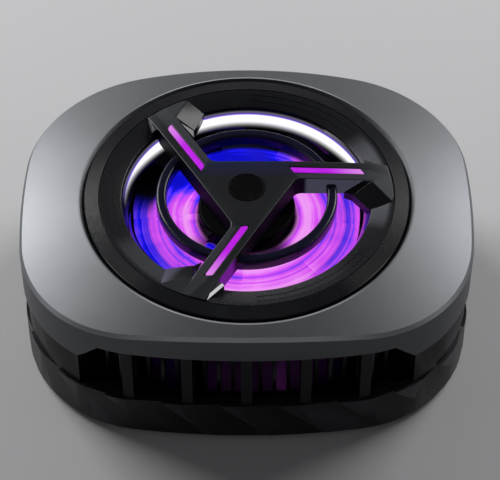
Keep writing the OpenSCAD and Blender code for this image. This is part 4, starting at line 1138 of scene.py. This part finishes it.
class COOLER_OT_rings(CoolerOperator, bpy.types.Operator):
    """Builds the grille's hoop and funnel, and the fine marks on the funnel"""

    bl_idname = "cooler.rings"
    bl_label = "Hoop and Funnel"

    def execute(self, context):
        sizes = context.scene.cooler_grille
        self.build_hoop(sizes)
        self.build_funnel(sizes)
        return {"FINISHED"}

    @staticmethod
    def build_hoop(sizes):
        inner, outer = sizes.hoop_in, sizes.hoop_out
        crown = 0.275 * (outer - inner)
        foot = 0.15 * MM
        profile = arc((outer - crown, sizes.hoop_top - crown), crown, 0, 90, 6)
        profile += arc((inner + crown, sizes.hoop_top - crown), crown, 90, 180, 6)
        profile += arc((inner + foot, sizes.hoop_low + foot), foot, 180, 270, 3)
        profile += arc((outer - foot, sizes.hoop_low + foot), foot, 270, 360, 3)
        turned_piece("grille_hoop", profile, 192, "satin_black", looks=["hoop"])

    def build_funnel(self, sizes):
        edge_r = sizes.arm_reach + 0.1 * MM
        bezel_low, bezel_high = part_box("bezel_ring")
        lip_round = 0.16 * MM
        rise = (bezel_high.z - sizes.lip_z) / (edge_r - sizes.lip_r)
        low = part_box("intake_duct")[1].z + 0.05 * MM
        profile = arc((sizes.lip_r + lip_round, sizes.lip_z - lip_round), lip_round, 180, 98, 4)
        profile += [(edge_r - 0.1 * MM, bezel_high.z - 0.03 * MM), (edge_r, bezel_high.z - 0.12 * MM)]
        profile += [(edge_r, bezel_low.z), (edge_r, low), (sizes.lip_r, low)]
        turned_piece("grille_funnel", profile, 256, "satin_black", looks=["funnel"])
        self.build_marks(sizes, rise)

    @staticmethod
    def build_marks(sizes, rise):
        """Fine raised arcs round the funnel, each with four short ticks at its end."""
        thick = 0.14 * MM
        proud = 0.05 * MM
        arc_radii = (22.35 * MM, 23.55 * MM)
        arc_start, arc_end = math.radians(34), math.radians(88)
        tick_in, tick_out = 22.7 * MM, 23.25 * MM
        tick_turn, tick_pitch = math.radians(0.45), math.radians(1.3)
        tick_count = 4

        def band(inner, outer):
            corners = ((inner, -proud), (outer, -proud), (outer, proud), (inner, proud))
            return [(r, sizes.lip_z + rise * (r - sizes.lip_r) + height) for r, height in corners]

        bm = bmesh.new()
        for angle in ARM_ANGLES:
            for radius in arc_radii:
                spun(bm, band(radius, radius + thick), 48, angle + arc_start, arc_end - arc_start)
            for i in range(tick_count):
                spun(bm, band(tick_in, tick_out), 1, angle + arc_end - i * tick_pitch, tick_turn)
        new_piece("funnel_marks", cleaned(bm), "satin_black", looks=["funnel"])


class COOLER_OT_lights(CoolerOperator, bpy.types.Operator):
    """Builds the light strips in the arms and the round inlay on the hub"""

    bl_idname = "cooler.lights"
    bl_label = "Light Strips and Inlay"

    def execute(self, context):
        sizes = context.scene.cooler_grille
        middle = sizes.arm_edge - sizes.arm_w / 2
        half = sizes.strip_w / 2
        lean = sizes.strip_slant / 2
        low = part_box("light_strips")[0].z
        corners = [(sizes.strip_in + lean, -half), (sizes.strip_out + lean, -half)]
        corners += [(sizes.strip_out - lean, half), (sizes.strip_in - lean, half)]
        proud = 0.02 * MM
        end_round = 0.34 * MM
        bm = bmesh.new()
        for angle in ARM_ANGLES:
            turn = Matrix.Rotation(angle, 3, "Z")
            points = [bm.verts.new(turn @ Vector((x, middle + y, low))) for x, y in corners]
            others = set(bm.faces)
            bm.faces.new(points)
            if angle:
                corners_rounded(bm, points, end_round, 5)
            plan = [face for face in bm.faces if face not in others]
            raised_to_arms(bm, plan, sizes, proud)
        rounded(new_piece("strip_guides", cleaned(bm), "light_guide", ["light_strips"]), 0.12 * MM)
        self.build_inlay()
        return {"FINISHED"}

    @staticmethod
    def build_inlay():
        """Bare round disc with a shallow dish and a fine raised rim."""
        low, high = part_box("hub_inlay")
        edge = 0.12 * MM
        rim = high.x - 0.3 * MM
        dish_r, dish_z = rim - 0.08 * MM, high.z - 0.05 * MM
        profile = [(0, low.z), (high.x, low.z), (high.x, high.z - edge)]
        profile += arc((high.x - edge, high.z - edge), edge, 0, 90, 4)[1:]
        profile += [(rim, high.z), (dish_r, dish_z), (0, dish_z)]
        turned_piece("hub_disc", profile, 96, "gloss_black", ["hub_inlay"], looks=["dull_black"])


# Fan, casing and contact face


class COOLER_OT_fan(CoolerOperator, bpy.types.Operator):
    """Builds the fan's hub and its twisted blades"""

    bl_idname = "cooler.fan"
    bl_label = "Fan"

    def execute(self, context):
        sizes = context.scene.cooler_fan
        low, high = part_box("impeller")
        self.build_hub(sizes, low.z, high.z)
        self.build_blades(sizes, high.x - 0.05 * MM)
        return {"FINISHED"}

    @staticmethod
    def build_hub(sizes, low_z, high_z):
        edge = sizes.hub_round
        inside = sizes.hub_r - 0.6 * MM
        hollow_z = low_z + 2 * MM
        well = 2.6 * MM
        dish_z = high_z - 0.35 * MM
        profile = [(0, hollow_z), (inside, hollow_z), (inside, low_z), (sizes.hub_r, low_z)]
        profile += arc((sizes.hub_r - edge, high_z - edge), edge, 0, 90, 8)
        profile += [(well + 0.5 * MM, high_z), (well, dish_z), (0, dish_z)]
        turned_piece("fan_hub", profile, 128, "fan_plastic", ["impeller"], "rotor", ["dull_black"])

    @staticmethod
    def build_blades(sizes, tip):
        """Blades whose lower edges reach back near the hub, under the next blade."""
        radial_steps = 14
        blade_steps = 18
        foot_turn = 0.24
        foot_reach = 6.5 * MM
        root = sizes.hub_r - 0.2 * MM
        low_z = sizes.blade_low + sizes.blade_t / 2
        rise = UP * sizes.blade_rise / blade_steps
        reaches = [root + (tip - root) * i / radial_steps for i in range(radial_steps + 1)]
        bm = bmesh.new()
        for i in range(sizes.blades):
            start = TURN * i / sizes.blades - sizes.blade_angle / 2
            points = [bm.verts.new(polar(start, reach, low_z)) for reach in reaches]
            edges = [bm.edges.new(pair) for pair in zip(points, points[1:])]
            swept(bm, points + edges, sizes.blade_angle, blade_steps, rise)
        for point in bm.verts:
            share = (point.co.z - low_z) / sizes.blade_rise
            if share < 0.5 / blade_steps:
                reach = point.co.xy.length
                angle = math.atan2(point.co.y, point.co.x)
                foot = foot_turn * max(0, 1 - (reach - root) / foot_reach)
                point.co.xy = polar(angle - foot, reach, 0).xy
            point.co.z += 4 * sizes.blade_camber * share * (1 - share)
        piece = new_piece("fan_blades", cleaned(bm), "fan_plastic", body="rotor")
        rounded(thickened(piece, sizes.blade_t, offset=0), 0.14 * MM)


class COOLER_OT_casing(CoolerOperator, bpy.types.Operator):
    """Makes smooth copies of the base, the vents, the duct, the fins and the socket, and rounds the
    edges of some
    """

    bl_idname = "cooler.casing"
    bl_label = "Base, Vents and Duct"

    def execute(self, context):
        for node, slot, width, look in [
            ("base_shell", "base_plastic", 0.1, None),
            ("front_vent", "satin_black", 0.16, "vent"),
            ("rear_vent", "satin_black", 0.16, "vent"),
            ("heat_sink", "aluminium", 0, "fins"),
            ("intake_duct", "gloss_black", 0, "duct"),
            ("fan_frame", "satin_black", 0, None),
            ("socket_shell", "steel", 0.06, None),
            ("socket_tongue", "chip_black", 0.06, None),
            ("base_screws", "steel", 0.08, None),
            ("contact_plate", "aluminium", 0, None),
        ]:
            bm = solid_copy(node)
            if width:
                flats_joined(bm, 0.2)
            piece = new_piece(f"{node}_smooth", bm, slot, [node], looks=[look or slot])
            if width:
                rounded(piece, width * MM, segments=2)
        return {"FINISHED"}


class COOLER_OT_underside(CoolerOperator, bpy.types.Operator):
    """Builds the silicone pad and grip ring of the contact face"""

    bl_idname = "cooler.underside"
    bl_label = "Contact Face"

    def execute(self, context):
        self.build_pad()
        self.build_grip_ring()
        return {"FINISHED"}

    @staticmethod
    def outer_part(node, inner):
        """Radius and low height of a node, and the top and the rounded side of its profile."""
        low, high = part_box(node)
        profile = [(inner, high.z), (high.x, high.z), (high.x, low.z + SOFT_EDGE)]
        profile += arc((high.x - SOFT_EDGE, low.z + SOFT_EDGE), SOFT_EDGE, 0, -90, 4)[1:]
        return high.x, low.z, profile

    def build_pad(self):
        pitch = 1.25 * MM
        # Points of one groove: their ways inwards and their depths, in millimetres
        groove = ((0, 0), (0.12, 0.05), (0.3, 0.05), (0.42, 0))
        outer, low_z, profile = self.outer_part("contact_pad", 0)
        flat = outer - SOFT_EDGE
        for i in range(int(flat / pitch) - 1):
            start = flat - (i + 0.6) * pitch
            profile += [(start - way * MM, low_z + depth * MM) for way, depth in groove]
        profile += [(0, low_z)]
        turned_piece("pad_ribbed", profile, 160, "silicone", ["contact_pad"])

    def build_grip_ring(self):
        inner = 22.4 * MM
        # Points of one groove: their ways off its middle and their depths, in millimetres
        groove = ((0.25, 0), (0.15, 0.08), (-0.15, 0.08), (-0.25, 0))
        outer, low_z, profile = self.outer_part("grip_ring", inner)
        for share in (0.75, 0.5, 0.25):
            middle = inner + share * (outer - inner)
            profile += [(middle + way * MM, low_z + depth * MM) for way, depth in groove]
        profile += arc((inner + SOFT_EDGE, low_z + SOFT_EDGE), SOFT_EDGE, -90, -180, 4)
        turned_piece("grip_ring_ribbed", profile, 192, "silicone", ["grip_ring"])


class COOLER_OT_finishes(CoolerOperator, bpy.types.Operator):
    """Gives every other solid the finish of its material slot"""

    bl_idname = "cooler.finishes"
    bl_label = "Finishes"

    def execute(self, context):
        finishes.update(make_finishes(context.scene.cooler_colours))
        for part in frame["record"]["subparts"]:
            mesh = frame["nodes"][part["node"]].data
            mesh.materials.clear()
            mesh.materials.append(finishes[part["material_slot"]].material)
        return {"FINISHED"}


# Stage


class COOLER_OT_stage(CoolerOperator, bpy.types.Operator):
    """Sets the pale floor, the soft lights and the camera"""

    bl_idname = "cooler.stage"
    bl_label = "Stage"

    def execute(self, context):
        scene = context.scene
        scene.view_settings.view_transform = "Standard"
        self.lay_floor(scene)
        self.set_world(scene)
        for name, place, (wide, high), power in [
            ("left_softbox", (-0.42, 0.36, 0.34), (0.34, 0.34), 3.2),
            ("right_softbox", (0.42, 0.36, 0.34), (0.34, 0.34), 2.3),
            ("back_strip", (0.0, 0.75, 0.27), (0.7, 0.06), 0.3),
            ("front_strip", (0.0, -0.8, 0.24), (0.9, 0.05), 0.16),
            ("low_left_softbox", (-0.6, -0.1, 0.12), (0.3, 0.16), 0.35),
            ("low_right_softbox", (0.6, -0.1, 0.12), (0.3, 0.16), 0.35),
        ]:
            self.add_light(scene, name, "AREA", place, power, shape="RECTANGLE", size=wide, size_y=high)
        fan_light = {"color": (0.85, 0.12, 1.0), "shadow_soft_size": 1.2 * MM}
        place = Vector((5.5, -19, 17.2)) * MM
        self.add_light(scene, "window_glow", "POINT", place, 0.0025, **fan_light)
        self.aim_camera(scene)
        return {"FINISHED"}

    @staticmethod
    def lay_floor(scene):
        """A wide floor that curves up far behind the object."""
        half = 3.0
        bend_y, bend_r = 2.0, 0.8
        bm = bmesh.new()
        corners = [bm.verts.new((-half, -half, 0)), bm.verts.new((half, -half, 0))]
        points, line = drawn_out(bm, [bm.edges.new(corners)])
        bmesh.ops.translate(bm, verts=points, vec=(0, half + bend_y, 0))
        swept(bm, points + line, TURN / 4, 16, centre=(0, bend_y, bend_r), axis=(1, 0, 0))
        bmesh.ops.remove_doubles(bm, verts=bm.verts, dist=MERGE_GAP)
        mesh = bpy.data.meshes.new("floor")
        bm.to_mesh(mesh)
        bm.free()
        mesh.shade_smooth()
        finish = Finish("pale_floor")
        pale = finish.mix(finish.noise(400), (0.6, 0.6, 0.61), (0.64, 0.64, 0.65))
        mesh.materials.append(finish.shader(base_color=pale, roughness=0.7).material)
        floor = bpy.data.objects.new("floor", mesh)
        scene.collection.objects.link(floor)

    @staticmethod
    def set_world(scene):
        scene.world = bpy.data.worlds.new("studio")
        scene.world.use_nodes = True
        sky = scene.world.node_tree.nodes["Background"]
        sky.inputs["Color"].default_value = (0.9, 0.93, 1.0, 1)
        sky.inputs["Strength"].default_value = 0.042

    @staticmethod
    def add_light(scene, name, kind, place, power, **settings):
        """A light that faces the object."""
        light = bpy.data.lights.new(name, kind)
        light.energy = power
        for key, value in settings.items():
            setattr(light, key, value)
        lamp = bpy.data.objects.new(name, light)
        lamp.location = place
        lamp.rotation_euler = (-Vector(place)).to_track_quat("-Z", "Y").to_euler()
        scene.collection.objects.link(lamp)

    @staticmethod
    def aim_camera(scene):
        look_down = 48.216
        data = bpy.data.cameras.new("camera")
        data.sensor_width = 36
        data.lens = 151.2
        data.clip_start, data.clip_end = 0.01, 20
        camera = bpy.data.objects.new("camera", data)
        camera.location = Vector((0.549, -240.1, 284.2)) * MM
        camera.rotation_euler = (math.radians(90 - look_down), 0, 0)
        scene.collection.objects.link(camera)
        scene.camera = camera


class COOLER_PT_panel(bpy.types.Panel):
    """Lists the steps that build the cooling fan"""

    bl_label = "Cooling Fan"
    bl_idname = "COOLER_PT_panel"
    bl_space_type = "VIEW_3D"
    bl_region_type = "UI"
    bl_category = "Cooling Fan"

    def draw(self, context):
        for operator in OPERATORS:
            self.layout.operator(operator.bl_idname)
        for name in GROUPS:
            group = getattr(context.scene, name)
            box = self.layout.box()
            for key in group.__annotations__:
                box.prop(group, key)


GROUPS = {
    "cooler_casing": CasingSizes,
    "cooler_grille": GrilleSizes,
    "cooler_fan": FanSizes,
    "cooler_colours": Colours,
}
OPERATORS = (
    COOLER_OT_finishes,
    COOLER_OT_cover,
    COOLER_OT_bezel,
    COOLER_OT_spider,
    COOLER_OT_rings,
    COOLER_OT_lights,
    COOLER_OT_fan,
    COOLER_OT_casing,
    COOLER_OT_underside,
    COOLER_OT_stage,
)


def register():
    for group in (*GROUPS.values(), *OPERATORS, COOLER_PT_panel):
        bpy.utils.register_class(group)
    for name, group in GROUPS.items():
        setattr(bpy.types.Scene, name, PointerProperty(type=group))


def unregister():
    for name in GROUPS:
        delattr(bpy.types.Scene, name)
    for group in (COOLER_PT_panel, *reversed(OPERATORS), *reversed(GROUPS.values())):
        bpy.utils.unregister_class(group)


def main():
    register()
    bpy.ops.cooler.finishes()
    bpy.ops.cooler.cover()
    bpy.ops.cooler.bezel()
    bpy.ops.cooler.spider()
    bpy.ops.cooler.rings()
    bpy.ops.cooler.lights()
    bpy.ops.cooler.fan()
    bpy.ops.cooler.casing()
    bpy.ops.cooler.underside()
    bpy.ops.cooler.stage()
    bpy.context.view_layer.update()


if __name__ == "__main__":
    main()
